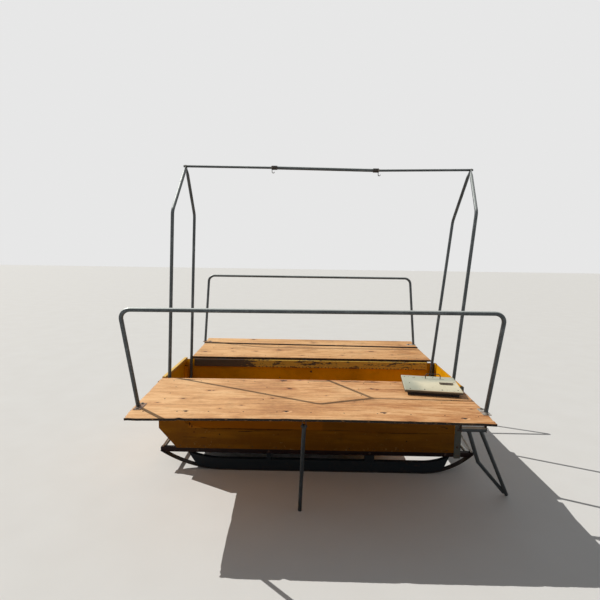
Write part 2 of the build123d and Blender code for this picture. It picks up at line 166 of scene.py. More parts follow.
class Tree:
    """A tree of nodes, each made by one method."""

    def __init__(self, group):
        self.group = group

    def add(self, kind, settings, values, output=0):
        """One node, with its settings made first and then its sockets filled."""
        node = self.group.nodes.new(kind)
        for name, value in settings.items():
            if name == "stops":
                stops = node.color_ramp.elements
                while len(stops) < len(value):
                    stops.new(1)
                for stop, (position, colour) in zip(stops, value):
                    stop.position = position
                    stop.color = (*linear(*colour), 1)
            else:
                setattr(node, name, value)
        for name, value in values.items():
            self.fill(node.inputs[name], value)
        return Wire(self, node.outputs[output])

    def fill(self, socket, value):
        """Fills a socket with a wire, a list of wires, a screen colour or a plain value."""
        if isinstance(value, list):
            for part in value:
                self.fill(socket, part)
        elif isinstance(value, Wire):
            self.group.links.new(value.socket, socket)
        elif isinstance(value, tuple) and len(value) == 3 and socket.type == "RGBA":
            socket.default_value = (*linear(*value), 1)
        else:
            socket.default_value = value


class Finish(Tree):
    """A surface finish and the nodes that paint it."""

    def __init__(self, name):
        self.material = bpy.data.materials.new(name)
        self.material.use_nodes = True
        super().__init__(self.material.node_tree)
        self.surface = self.group.nodes["Principled BSDF"]
        self.here = self.add("ShaderNodeTexCoord", {}, {}, "Object")

    def axis(self, name):
        """One of the object's coordinates, in metres."""
        return self.add("ShaderNodeSeparateXYZ", {}, {0: self.here}, name)

    def spread(self, scale, shift=(0, 0, 0)):
        """Object coordinates and their scale for a texture, which may differ for each axis."""
        if not isinstance(scale, tuple):
            return {"Vector": self.here, "Scale": scale}
        values = {"Vector": self.here, "Scale": scale, "Location": shift}
        return {"Vector": self.add("ShaderNodeMapping", {}, values), "Scale": 1}

    def cloud(self, scale, detail=3.0, roughness=0.5, shift=(0, 0, 0)):
        """Fractal noise about 0.5."""
        values = {**self.spread(scale, shift), "Detail": detail, "Roughness": roughness}
        return self.add("ShaderNodeTexNoise", {}, values, "Fac")

    def cells(self, scale, output="Distance"):
        """Distance to the nearest of many scattered points, or that point's own colour."""
        return self.add("ShaderNodeTexVoronoi", {"feature": "F1"}, self.spread(scale), output)

    def mix(self, share, first, second):
        """Colour that goes from first to second, whose sockets come after those for numbers."""
        return self.add("ShaderNodeMix", {"data_type": "RGBA"}, {0: share, 6: first, 7: second}, 2)

    def coat(self, share, colour):
        """Lays a colour over what is there, by a share."""
        self.colour = self.mix(share, self.colour, colour)

    def upward(self):
        """Height of the surface's normal, 1 on faces that look up."""
        normal = self.add("ShaderNodeNewGeometry", {}, {}, "Normal")
        return self.add("ShaderNodeSeparateXYZ", {}, {0: normal}, "Z")

    def mark(self, name):
        """Value painted on the mesh under a name."""
        return self.add("ShaderNodeAttribute", {"attribute_name": name}, {}, "Fac")

    def ramp(self, value, *stops):
        """Colour read off a ramp."""
        return self.add("ShaderNodeValToRGB", {"stops": stops}, {"Fac": value})

    def paint(self, roughness, relief=0.0, depth=0.001, metallic=0.0, gloss=0.5):
        """Sets the surface from its coats, its roughness and the height of its relief."""
        bump = self.add("ShaderNodeBump", {}, {"Strength": 1.0, "Distance": depth, "Height": relief})
        values = {"Base Color": self.colour, "Roughness": roughness, "Metallic": metallic}
        values.update({"Specular IOR Level": gloss, "Normal": bump})
        for name, value in values.items():
            self.fill(self.surface.inputs[name], value)
        return self.material


room_fill = 0.225
room_white = 0.80
room_tint = (0.95, 0.97, 1.0, 1)
world = bpy.data.worlds.new("room")
world.use_nodes = True
scene.world = world
room = Tree(world.node_tree)
room_light = room.group.nodes["Background"]
room.fill(room_light.inputs["Color"], room_tint)
room.fill(room_light.inputs["Strength"], room_fill)
backdrop = room.add("ShaderNodeBackground", {}, {"Color": (room_white, room_white, room_white, 1)})
ray_kinds = ("Camera", "Transmission", "Glossy")
rays = [room.add("ShaderNodeLightPath", {}, {}, f"Is {kind} Ray") for kind in ray_kinds]
shares = {0: rays[0] | rays[1] | rays[2], 1: Wire(room, room_light.outputs[0]), 2: backdrop}
room.fill(room.group.nodes["World Output"].inputs["Surface"], room.add("ShaderNodeMixShader", {}, shares))

floor_half = 40
floor_mesh = bpy.data.meshes.new("floor")
floor_corners = [(x * floor_half, y * floor_half, 0) for x, y in ((-1, -1), (1, -1), (1, 1), (-1, 1))]
floor_mesh.from_pydata(floor_corners, [], [(0, 1, 2, 3)])
floor = bpy.data.objects.new("floor", floor_mesh)
scene.collection.objects.link(floor)
paper = Finish("floor_paper")
speckle = paper.cloud(3, 2)
paper.colour = paper.mix(speckle, (220, 219, 216), (226, 226, 224))
floor_mesh.materials.append(paper.paint(0.9))


# Galvanised tube. Every hoop, gable tube, ridge length and leg is inch
# steel tube, bent cold, dull grey with a faint spangle, with rust where it was
# bent, drilled or welded.

tube_radius = 12.7
tube_wall = 1.6
bore_depth = 30
ring_sides = 24
hard_edge = radians(33)
bend_step = radians(9)


def galvanised(name, dark, middle, pale, shine):
    """Dull zinc with a faint spangle, dark runs, spots of rust and a pale upper side that is a painted
    reflection.
    """
    zinc = Finish(name)
    spangle = zinc.cells(210, output="Color")
    spangle = zinc.add("ShaderNodeSeparateColor", {}, {0: spangle}, "Red")
    weather = zinc.cloud(9, 5, 0.6)
    drips = zinc.cloud((60, 60, 5), 4, 0.6)
    zinc.colour = zinc.ramp(weather * 0.7 + spangle * 0.3, (0.2, dark), (0.55, middle), (0.85, pale))
    rust = zinc.cloud(22, 6, 0.7).within(0.62, 0.7) * zinc.cloud(3, 2).within(0.45, 0.62)
    zinc.coat(rust * 0.85, (104, 62, 38))
    zinc.coat(drips.within(0.55, 0.75) * 0.45, dark)
    # Painted reflection: faces that look up are paler, as if they mirrored a bright sky above.
    zinc.coat(zinc.upward().within(0.35, 0.9) * 0.8, (214, 220, 216))
    rough = spangle * 0.14 + weather * 0.2 + 0.34 + rust * 0.3
    relief = weather * 0.5 + rust + spangle * 0.1
    return zinc.paint(rough, relief, 0.0006, metallic=shine - rust * shine)


frame_zinc = galvanised("galvanised_tube", (46, 50, 52), (76, 82, 85), (122, 128, 130), 0.4)


def mesh_of(name, bm, outwards=True):
    """Mesh from a bmesh, with its faces turned outwards unless they are so already."""
    if outwards:
        bmesh.ops.recalc_face_normals(bm, faces=bm.faces)
    mesh = bpy.data.meshes.new(name)
    bm.to_mesh(mesh)
    bm.free()
    return mesh


def bridged(bm, first, second):
    """Band of faces between two rings of vertices."""
    for k in range(len(first)):
        n = (k + 1) % len(first)
        bm.faces.new((first[k], first[n], second[n], second[k]))


def finished(name, mesh, material, body, slot, *nodes, smooth=True):
    """Object made of a mesh in place, riding on its body and standing for its nodes."""
    piece = bpy.data.objects.new(name, mesh)
    scene.collection.objects.link(piece)
    mesh.materials.clear()
    mesh.materials.append(material)
    if smooth:
        mesh.shade_smooth()
        mesh.set_sharp_from_angle(angle=hard_edge)
    else:
        mesh.shade_flat()
    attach(piece, body)
    if nodes:
        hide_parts(*nodes)


def bent_route(points, bend):
    """Points along straight runs joined by arcs of one bend radius, in steps of a few degrees."""
    route = [points[0]]
    for before, corner, after in zip(points, points[1:], points[2:]):
        into = (corner - before).normalized()
        out = (after - corner).normalized()
        turn = into.angle(out)
        if turn < radians(1):
            route.append(corner)
            continue
        back = bend * sin(turn / 2) / cos(turn / 2)
        normal = into.cross(out).normalized()
        centre = corner - into * back + normal.cross(into) * bend
        arm = corner - into * back - centre
        count = max(2, int(turn / bend_step) + 1)
        for index in range(count + 1):
            route.append(centre + Matrix.Rotation(turn * index / count, 3, normal) @ arm)
    route.append(points[-1])
    return route


def subdivided(route, longest):
    """Route with its long runs cut into shorter ones."""
    points = [route[0]]
    for start, end in zip(route, route[1:]):
        count = max(1, int((end - start).length / longest) + 1)
        points += [start.lerp(end, index / count) for index in range(1, count + 1)]
    return points


def tube_mesh(name, route, radius, flats=((0, 0), (0, 0)), hollow=True):
    """Tube along a flat route, whose ends may be pressed over a length to half a thickness."""
    spans = [(b - a).length for a, b in zip(route, route[1:])]
    total = sum(spans)
    normal = Vector((0, 0, 0))
    for a, b, c in zip(route, route[1:], route[2:]):
        normal += (b - a).normalized().cross((c - b).normalized())
    if normal.length < 1e-4:
        normal = (route[1] - route[0]).orthogonal()
    normal.normalize()
    turns = [2 * pi * k / ring_sides for k in range(ring_sides)]
    bm = bmesh.new()
    rings = []
    travelled = 0.0
    for index, point in enumerate(route):
        travelled += spans[index - 1] if index else 0.0
        before = route[max(index - 1, 0)]
        after = route[min(index + 1, len(route) - 1)]
        across = (after - before).normalized().cross(normal).normalized()
        thick = radius
        wide = radius
        for (length, thin), distance in zip(flats, (travelled, total - travelled)):
            if length and distance < length:
                share = 1 - distance / length
                share = share * share * (3 - 2 * share)
                thick = radius + (thin - radius) * share
                wide = radius + (radius * pi / 2 - thin - radius) * share
        ring = [point + normal * thick * cos(turn) + across * wide * sin(turn) for turn in turns]
        rings.append([bm.verts.new(spot) for spot in ring])
    for first, second in zip(rings, rings[1:]):
        bridged(bm, first, second)
    for end, inward in ((0, 1), (-1, -1)):
        ring = rings[end]
        if not hollow:
            bm.faces.new(ring if end else ring[::-1])
            continue
        middle = route[end]
        depth = (route[end + inward] - middle).normalized() * min(bore_depth * mm, total / 3)
        share = 1 - tube_wall * mm / radius
        bore = [bm.verts.new(middle + (vert.co - middle) * share) for vert in ring]
        deep = [bm.verts.new(vert.co + depth) for vert in bore]
        for outer, inner in ((ring, bore), (bore, deep)):
            bridged(bm, outer, inner)
        bm.faces.new(deep)
    return mesh_of(name, bm)


# Rail hoops. Each is one length of tube with two square bends, welded to flat
# zinc plates that are bolted down at the deck's ends. The near hoop leans
# further out than the far one.

deck_top = 732
deck_inner = 368
deck_outer = 1212
bow_length = 1150
bow_outer = 14
bow_inner = 6
bow_middle = 150


def bow(point):
    """Rise of the near deck at a point: it has bent up between its ends."""
    x = (point.x - deck_middle_x) / mm
    y = (tub_middle_y - point.y) / mm
    aside = min(1.0, max(0.0, (deck_outer - y) / (deck_outer - deck_inner)))
    outer = bow_outer * (1 - ((x - bow_middle) / bow_length) ** 2)
    inner = bow_inner * (1 - (x / bow_length) ** 2)
    return (outer * (1 - aside) + inner * aside) * mm


hoop_bend = 63
hoop_step = 200
plate_thickness = 4
plate_corner = 5
plate_ease = 0.6
weld_radius = 3.2
weld_lumps = 22
# One row for each hoop: word, side, foot's distance from the middle, lean in
# degrees, foot plate's size, how far it is set inwards, then X at the foot,
# X at the top and length of the front and the rear leg
hoop_rows = (
    ("near", -1, 1012, 18.5, (50, 120), 10, (-1080, -1094, 682), (1108, 1096, 694)),
    ("far", 1, 1050, 8.0, (96, 46), 26, (-1114, -1088, 721), (1142, 1100, 721)),
)


def weld_mesh(bm, middle, normal, reach, bead):
    """Ring of weld round a tube's foot, in small overlapping lumps."""
    across = normal.orthogonal().normalized()
    along = normal.cross(across)
    rings = []
    for index in range(weld_lumps * 2):
        turn = pi * index / weld_lumps
        out = across * cos(turn) + along * sin(turn)
        size = bead * (1.1 if index % 2 else 0.85)
        ways = [out * cos(pi * k / 4) + normal * sin(pi * k / 4) for k in range(8)]
        rings.append([bm.verts.new(middle + out * reach + way * size) for way in ways])
    for index, ring in enumerate(rings):
        bridged(bm, ring, rings[(index + 1) % len(rings)])


def plate_mesh(bm, middle, size):
    """Flat bar with rounded corners and eased edges, lying flat."""
    corner = plate_corner * mm
    ease = plate_ease * mm
    half_x = size[0] / 2
    half_y = size[1] / 2
    outline = []
    for x, y, start in ((1, 1, 0), (-1, 1, 1), (-1, -1, 2), (1, -1, 3)):
        for quarter in range(5):
            angle = (start + quarter / 4) * pi / 2
            along = x * (half_x - corner) + corner * cos(angle)
            outline.append((along, y * (half_y - corner) + corner * sin(angle)))
    layers = []
    for height, inset in ((0, ease), (ease, 0), (size[2] - ease, 0), (size[2], ease)):
        spots = [Vector((x * (1 - inset / half_x), y * (1 - inset / half_y), height)) for x, y in outline]
        layers.append([bm.verts.new(middle + spot) for spot in spots])
    for low, high in zip(layers, layers[1:]):
        bridged(bm, low, high)
    bm.faces.new(layers[0][::-1])
    bm.faces.new(layers[-1])


plate_zinc = Finish("zinc_plate")
cloud = plate_zinc.cloud(40, 4, 0.6)
plate_zinc.colour = plate_zinc.ramp(cloud, (0.3, (112, 104, 94)), (0.6, (182, 176, 166)))
rust = plate_zinc.cloud(24, 5, 0.7) - plate_zinc.axis("X").within(-0.4, 0.4, -0.14, 0.1)
plate_zinc.coat(rust.within(0.45, 0.56) * 0.85, (142, 106, 80))
plate_zinc.paint(cloud * 0.3 + 0.35, cloud, 0.0004, metallic=0.3)

for word, side, foot_y, lean, plate, plate_inset, front_leg, rear_leg in hoop_rows:
    out = Vector((0, side * sin(radians(lean)), cos(radians(lean))))
    bends = [(front_leg[0], plate_thickness), front_leg[1:], rear_leg[1:], (rear_leg[0], plate_thickness)]
    route = [place(x, side * foot_y, deck_top) + out * reach * mm for x, reach in bends]
    route = subdivided(bent_route(route, hoop_bend * mm), hoop_step * mm)
    name = f"{word}_hoop_tube"
    mesh = tube_mesh(name, route, tube_radius * mm, hollow=False)
    finished(name, mesh, frame_zinc, f"{word}_wing", "galvanised", f"{word}_hoop")
    bm = bmesh.new()
    for x, inwards in ((front_leg[0], 1), (rear_leg[0], -1)):
        foot = place(x, side * foot_y, deck_top)
        plate_middle = foot + Vector((inwards * plate_inset * mm, 0, 0))
        if word == "near":
            plate_middle.z += bow(foot)
        plate_mesh(bm, plate_middle, (plate[0] * mm, plate[1] * mm, plate_thickness * mm))
        weld_middle = foot + Vector((0, 0, plate_thickness * mm))
        weld_mesh(bm, weld_middle, out, (tube_radius + 1) * mm, weld_radius * mm)
    name = f"{word}_hoop_plates"
    finished(name, mesh_of(name, bm), plate_zinc.material, f"{word}_wing", "galvanised")


# Gable frames. Two tubes at each end rise from timber sockets on the tub's
# sides, bend in at head height and meet at the ridge, where they are pinched
# flat and pinned on each side of it.

gable_y = 330
mast_foot = 450
mast_bend = 80
ridge_height = 2400
pinch_length = 70
pinch_half = 4
pinch_step = 8
apex_gap = 10
tube_step = 120
# One row for each tube: end, word, side, foot X, bend X, bend height, ridge X
gable_rows = (
    ("front", "near", -1, -1097, -1044, 2014, -1023),
    ("front", "far", 1, -1092, -1041, 2032, -1023),
    ("rear", "near", -1, 1103, 1233, 2032, 1287),
    ("rear", "far", 1, 1120, 1270, 2006, 1287),
)
for end, word, side, foot_x, bend_x, bend_z, apex_x in gable_rows:
    points = [place(foot_x, side * gable_y, mast_foot), place(bend_x, side * gable_y, bend_z)]
    last = place(apex_x, 0, ridge_height)
    slope = (last - points[-1]).normalized()
    points.append(last - slope * (pinch_half + apex_gap) * mm)
    route = subdivided(bent_route(points, mast_bend * mm), tube_step * mm)
    tail = subdivided([route[-1] - slope * pinch_length * mm, route[-1]], pinch_step * mm)
    route = [point for point in route if (point - route[-1]).length > (pinch_length + 2) * mm] + tail
    name = f"{end}_gable_{word}"
    mesh = tube_mesh(name, route, tube_radius * mm, ((0, 0), (pinch_length * mm, pinch_half * mm)))
    finished(name, mesh, frame_zinc, "tub", "galvanised", f"{end}_mast_{word}")


# Ridge. Two thin end tubes are pushed into a thicker middle tube, which sags
# a little, and each joint is held by a split collar that carries an open hook.

ridge_points = [place(x, 0, z) for x, z in ((-1023, 2400), (-325, 2396), (546, 2384), (1287, 2397))]
ridge_thin = 9.5
ridge_overhang = 20
ridge_plug = 20
ridge_step = 100
front_run = (ridge_points[0] - ridge_points[1]).normalized() * mm
rear_run = (ridge_points[3] - ridge_points[2]).normalized() * mm
front_end = ridge_points[0] + front_run * ridge_overhang
rear_end = ridge_points[3] + rear_run * ridge_overhang
for name, start, end, radius in (
    ("ridge_front", front_end, ridge_points[1] - front_run * ridge_plug, ridge_thin),
    ("ridge_middle", ridge_points[1], ridge_points[2], tube_radius),
    ("ridge_rear", ridge_points[2] - rear_run * ridge_plug, rear_end, ridge_thin),
):
    mesh = tube_mesh(f"{name}_tube", subdivided([start, end], ridge_step * mm), radius * mm)
    finished(f"{name}_tube", mesh, frame_zinc, "tub", "galvanised", name)


# Folding legs. The middle leg is one tube pinched to a flat eye at its top,
# and the end leg is a straight tube and a bent one welded to a sleeve. Both
# turn on bolts under the decks and stand on their cut ends.

both_sides = (("near", -1), ("far", 1))
leg_pivot_y = 1146
leg_pivot_z = 676
middle_leg_x = -30
middle_foot = (-50, 917)
eye_reach = 12
eye_length = 80
eye_half = 5
end_foot = (1436, 667)
end_knee = (1110, 373)
straight_top_x = 1028
bent_top_x = 955
sleeve_radius = 15
sleeve_xs = (912, 983, 1054)
foot_lap = 36
leg_weld_reach = 15
leg_weld = 2.6
end_lean = (leg_pivot_y - end_foot[1]) / leg_pivot_z
eye_step = 10
middle_leg_step = 150
# The legs and cross tubes take a darker copy of the zinc, darkened as painted shade from the decks and the
# tub above them.
shaded_leg_zinc = galvanised("dull_leg_tube", (20, 23, 25), (36, 41, 45), (70, 78, 83), 0.25)


def stood(foot, run):
    """End of a leg's run, so that its square-cut tube touches the ground and doesn't go below."""
    return foot - run * tube_radius * mm * sqrt(1 / (run.z * run.z) - 1)


for word, side in both_sides:
    top = place(middle_leg_x, side * leg_pivot_y, leg_pivot_z)
    foot = place(middle_foot[0], side * middle_foot[1], 0)
    run = (foot - top).normalized()
    eye_end = top + run * (eye_length + 10) * mm
    route = subdivided([top - run * eye_reach * mm, eye_end], eye_step * mm)
    route += subdivided([eye_end + run * 10 * mm, stood(foot, run)], middle_leg_step * mm)
    name = f"{word}_leg_tube"
    mesh = tube_mesh(name, route, tube_radius * mm, ((eye_length * mm, eye_half * mm), (0, 0)))
    finished(name, mesh, shaded_leg_zinc, f"{word}_middle_leg", "galvanised", f"{word}_middle_leg")

    foot = place(end_foot[0], side * end_foot[1], 0)
    straight_top = place(straight_top_x, side * leg_pivot_y, leg_pivot_z)
    bent_top = place(bent_top_x, side * leg_pivot_y, leg_pivot_z)
    knee = place(end_knee[0], side * (end_foot[1] + end_knee[1] * end_lean), end_knee[1])
    lap = place(end_foot[0] - foot_lap, side * (end_foot[1] + foot_lap * end_lean), foot_lap)
    run = (foot - straight_top).normalized()
    sleeve = [place(x, side * leg_pivot_y, leg_pivot_z) for x in sleeve_xs]
    bm = bmesh.new()
    for route, radius in (
        ([straight_top, stood(foot, run)], tube_radius),
        (bent_route([bent_top, knee, lap], hoop_bend * mm), tube_radius),
        (sleeve, sleeve_radius),
    ):
        part = tube_mesh("leg_part", subdivided(route, tube_step * mm), radius * mm)
        bm.from_mesh(part)
        bpy.data.meshes.remove(part)
    for start, heading in ((straight_top, run), (bent_top, (knee - bent_top).normalized())):
        weld_mesh(bm, start + heading * leg_weld_reach * mm, heading, tube_radius * mm, leg_weld * mm)
    name = f"{word}_end_leg_tubes"
    finished(name, mesh_of(name, bm), shaded_leg_zinc, f"{word}_end_leg", "galvanised", f"{word}_end_leg")


# Deck boards. They are rotary-cut plywood, bare and bleached, with the grain
# along the sled. Their edges are nibbled and show dark plies, darkened further
# with painted shade. The knots lie where the photo has them, among scattered
# dark checks.

deck_thickness = 16
grid_step = (0.009, 0.02)
rim_width = 0.0025
rim_round = 0.0011
worn_reach = 0.03
sheltered = 0.3
# Share of the thickness and push inwards of each ring of the rim
plies = ((1 / 14, 0.0007), (5 / 14, -0.0002), (9 / 14, 0.0009), (13 / 14, 0.0))


def spaced(low, high, step):
    """Places from low to high, with a narrow rim at both ends."""
    count = max(2, round((high - low - 2 * rim_width) / step))
    run = (high - low - 2 * rim_width) / count
    return [low, *(low + rim_width + run * index for index in range(count + 1)), high]


def ripple(x, y, z):
    """Smooth noise at a point."""
    return noise.noise(Vector((x, y, z)))


def ragged(x, y, seed):
    """Share of wear at a place on an edge, mostly little and now and then much."""
    coarse = ripple(x * 9, y * 9, seed)
    fine = ripple(x * 70, y * 70, seed + 5)
    return max(0.0, 0.35 * coarse + 0.5 * fine + 0.18) + max(0.0, coarse - 0.32) * 2.2


def board(node, nibble, warp, seed, bites, corners, rise, curl):
    """Deck board with worn edges: a grid above and below, joined by a rim of plies.

    The corners are shifted in turn at low X and low Y, high X and low Y, high X
    and high Y, and low X and high Y. The far edge rises and the near one curls up.
    """
    low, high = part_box(node)
    bowed = node == "near_deck"
    xs = spaced(low.x, high.x, grid_step[0])
    ys = spaced(low.y, high.y, grid_step[1])
    last_i = len(xs) - 1
    last_j = len(ys) - 1
    bm = bmesh.new()
    rim = bm.verts.layers.float.new("rim")

    def worn(x, y, extra=0.0):
        """Place on the plan moved in by the wear of the edges near it."""
        moved_x = x
        moved_y = y
        for edge, distance, run, spot, inwards in (
            ("front", x - low.x, y, (low.x, y), (1, 0)),
            ("rear", high.x - x, y, (high.x, y), (-1, 0)),
            ("near", y - low.y, x, (x, low.y), (0, 1)),
            ("far", high.y - y, x, (x, high.y), (0, -1)),
        ):
            if distance > worn_reach:
                continue
            wear = ragged(*spot, seed) * nibble * (sheltered if bowed and edge == "far" else 1)
            for bite_edge, middle, half, depth in bites:
                if bite_edge == edge:
                    share = max(0.0, 1 - abs(run - middle) / half)
                    wear += depth * share * (0.7 + 0.6 * ripple(run * 160, seed, 3))
            wear = (min(wear, worn_reach * 0.8) + extra) * (1 - distance / worn_reach)
            moved_x += wear * inwards[0]
            moved_y += wear * inwards[1]
        across = (x - low.x) / (high.x - low.x)
        aside = (y - low.y) / (high.y - low.y)
        shares = ((1 - across) * (1 - aside), across * (1 - aside), across * aside, (1 - across) * aside)
        for share, (shift_x, shift_y) in zip(shares, corners):
            moved_x += share * shift_x * mm
            moved_y += share * shift_y * mm
        return moved_x, moved_y

    def vertex(x, y, height, on_rim, extra=0.0):
        """Vertex of the board, lifted with its warp, bow and curl."""
        aside = (y - low.y) / (high.y - low.y)
        height += warp * ripple(x * 1.6, y * 2.6, seed + 9) + rise * aside * mm
        height += curl * mm * max(0.0, 1 - aside * 2.6) ** 1.5
        if bowed:
            height += bow(Vector((x, y, 0)))
        vert = bm.verts.new((*worn(x, y, extra), height))
        vert[rim] = 1.0 if on_rim else 0.0
        return vert

    layers = []
    for height, inwards in ((low.z, 1), (high.z, -1)):
        grid = []
        for i, x in enumerate(xs):
            row = []
            for j, y in enumerate(ys):
                on_rim = i in (0, last_i) or j in (0, last_j)
                row.append(vertex(x, y, height + (inwards * rim_round if on_rim else 0.0), on_rim))
            grid.append(row)
        layers.append(grid)
    for grid, way in zip(layers, (-1, 1)):
        for first, second in zip(grid, grid[1:]):
            for j in range(last_j):
                quad = (first[j], second[j], second[j + 1], first[j + 1])
                bm.faces.new(quad[::way])
    around = [(i, 0) for i in range(last_i)] + [(last_i, j) for j in range(last_j)]
    around += [(i, last_j) for i in range(last_i, 0, -1)] + [(0, j) for j in range(last_j, 0, -1)]
    rings = [[layers[0][i][j] for i, j in around]]
    for share, push in plies:
        ring = []
        for i, j in around:
            flake = push * ripple(xs[i] * 45, ys[j] * 45, share * 30 + seed)
            ring.append(vertex(xs[i], ys[j], low.z + (high.z - low.z) * share, True, flake))
        rings.append(ring)
    rings.append([layers[1][i][j] for i, j in around])
    for lower, upper in zip(rings, rings[1:]):
        bridged(bm, lower, upper)
    return mesh_of(f"{node}_board", bm, outwards=False)


def nearest_reach(first, second, ovals):
    """Way out to the edge of the nearest oval, whose rows give its middle and its half sizes."""
    nearest = None
    for middle_first, middle_second, half_first, half_second in ovals:
        along = (first - middle_first) / half_first
        aside = (second - middle_second) / half_second
        reach = (along * along + aside * aside) ** 0.5
        nearest = reach if nearest is None else nearest & reach
    return nearest


def plywood(name, tones, knots, dents, shift, darkening, seam):
    """Bare plywood with grain along the sled, dark knots, dents with painted shade on their far side, and
    plies on its edges darkened with painted shade.
    """
    light, middle, dark, shaded_ply_light, shaded_ply_dark = tones
    wood = Finish(name)
    blotch = wood.cloud((1.4, 4.6, 4), 4, 0.55, shift)
    figure = wood.cloud((0.75, 5.5, 4), 1.5, 0.4, shift)
    rings = (figure * 62).wave() * 0.5 + 0.5
    fibre = wood.cloud((8, 250, 90), 5, 0.65, shift)
    streak = wood.cloud((1.6, 48, 20), 3, 0.6, shift)
    mottle = wood.cloud((17, 85, 60), 3, 0.7, shift)
    fleck = wood.cloud((36, 76, 90), 3, 0.8, shift)
    tone = blotch * 0.3 + rings * 0.06 + fibre * 0.2 + streak * 0.14 + mottle * 0.16 + fleck * 0.14
    wood.colour = wood.ramp(tone, (0.42, dark), (0.49, middle), (0.56, light))
    speck = fleck.within(0.62, 0.72) * mottle.within(0.4, 0.6)
    wood.coat(speck * 0.5, (108, 66, 38))
    across_x = wood.axis("X")
    across_y = wood.axis("Y")
    run = across_x.within(at_x(deck_front_x), at_x(-deck_front_x))
    wood.coat((1 - run) * 0.35, light)
    wood.coat(run * 0.22, dark)
    check = wood.cloud((17, 300, 90), 3, 0.6, shift).within(0.6, 0.7)
    patch_shift = tuple(3.1 * part for part in shift)
    check = check * wood.cloud((3.1, 9.3, 3.1), 3, 0.5, patch_shift).within(0.42, 0.6)
    wood.coat(check * 0.75, (118, 70, 38))
    wobble = (wood.cloud(46, 4) - 0.5) * 1.5
    ovals = [(at_x(x), at_y(y), size * 2.2 * mm, size * 1.3 * mm) for x, y, size in knots]
    nearest = nearest_reach(across_x, across_y, ovals) + wobble
    knot = 1 - nearest.within(0.5, 1.0)
    halo = 1 - nearest.within(0.9, 3.2)
    wood.coat(halo * 0.5, (168, 102, 58))
    wood.coat(knot * 0.95, (42, 22, 14))
    hollow = 0.0
    for x, y, size in dents:
        along = (across_x - at_x(x)) / (size * mm)
        aside = (across_y - at_y(y)) / (size * 0.62 * mm)
        reach = (along * along + aside * aside) ** 0.5 + wobble * 0.25
        # Each dent gets painted shade on its far side, and pale splintered wood beside it.
        dent_painted_shade = (1 - reach.within(0.8, 1.05)) * aside.within(-0.35, 0.1)
        pale = (1 - (reach - 1.3).size().within(0.2, 0.6)) * (along - aside).within(0.4, 1.2)
        wood.coat(pale * 0.7, light)
        wood.coat(dent_painted_shade * 0.95, (48, 26, 18))
        hollow = (1 - reach.within(0.7, 1.1)) + hollow
    grime = wood.cloud(4.2, 6, 0.65).within(0.5, 0.74)
    wood.coat(grime * darkening, (124, 96, 70))
    # Each seam row paints a dark line along the board, part dark joint and part painted shade.
    start, end, half, broken = seam
    slope = (end[1] - start[1]) / (end[0] - start[0])
    away = across_y - (across_x - at_x(start[0])) * slope - at_y(start[1]) + wobble * half * mm * 0.5
    whole = 1 - wood.cloud((5, 5, 5), 3, 0.6).within(0.4, 0.5) * broken
    line = 1 - away.size().within(half * mm * 0.5, half * mm)
    wood.coat(line * whole * 0.92, shaded_ply_dark)
    # The plies on the edges are dark weathered wood, darkened further to nearly black as painted shade.
    rim = wood.mark("rim").within(0.35, 0.75)
    ply = ((wood.axis("Z") - deck_low.z) / (deck_thickness * mm) * 2.5 * 2 * pi).wave() * 0.5 + 0.5
    torn = wood.cloud((26, 26, 160), 4, 0.7).within(0.56, 0.68)
    edge = wood.mix(ply * 0.7 + fibre * 0.3, shaded_ply_dark, shaded_ply_light)
    edge = wood.mix(torn * 0.6, edge, middle)
    wood.coat(rim, edge)
    relief = fibre * 0.4 + mottle * 0.3 + rings * 0.25 - check - knot - hollow + rim * ply
    return wood.paint(0.5 + fibre * 0.25 + grime * 0.1, relief, 0.0007, gloss=0.25)


# One row for each knot or dent: X, Y and size
near_knots = (
    (-190, -405, 15), (-137, -608, 12), (-150, -596, 6), (-701, -674, 8), (-672, -677, 5), (-841, -848, 7),
    (-244, -831, 7), (462, -580, 9), (492, -596, 8), (452, -566, 5), (490, -392, 8), (663, -400, 6),
    (1037, -961, 5), (963, -790, 5), (-493, -430, 6), (-66, -385, 7), (-985, -930, 5), (-560, -1040, 4),
    (300, -880, 4), (-430, -980, 5), (120, -760, 4),
)
near_dents = ((-761, -1090, 20), (-145, -1084, 24), (457, -1080, 24), (930, -1138, 22))
far_knots = (
    (-1010, 572, 12), (-741, 607, 7), (-770, 721, 9), (-291, 688, 15), (-515, 620, 10), (633, 690, 13),
    (439, 653, 7), (990, 1011, 10), (-601, 1180, 12), (60, 1060, 10), (330, 500, 9), (-60, 470, 8),
    (820, 560, 8),
)
near_ply = plywood(
    "near_plywood",
    ((246, 198, 144), (216, 158, 102), (168, 108, 62), (34, 24, 17), (8, 6, 4)),
    near_knots,
    near_dents,
    (0, 0, 0),
    0.3,
    ((-1100, -399), (1100, -399), 11, 1.0),
)
far_ply = plywood(
    "far_plywood",
    ((244, 196, 140), (218, 164, 106), (170, 114, 64), (62, 42, 28), (14, 9, 6)),
    far_knots,
    (),
    (3.1, 1.7, 0),
    0.4,
    ((-1115, 979), (1145, 901), 24, 0.0),
)
# One row for each bite out of an edge: edge, middle, half its length and its depth
near_bites = (
    ("near", at_x(-1075), 0.05, 0.012),
    ("near", at_x(-763), 0.03, 0.014),
    ("near", at_x(610), 0.04, 0.007),
    ("near", at_x(1010), 0.06, 0.006),
    ("front", at_y(-1180), 0.06, 0.016),
    ("front", at_y(-700), 0.04, 0.006),
    ("rear", at_y(-1150), 0.09, 0.01),
)
far_bites = (
    ("near", at_x(-250), 0.3, 0.007),
    ("near", at_x(560), 0.25, 0.006),
    ("far", at_x(-620), 0.3, 0.007),
    ("far", at_x(330), 0.4, 0.006),
)
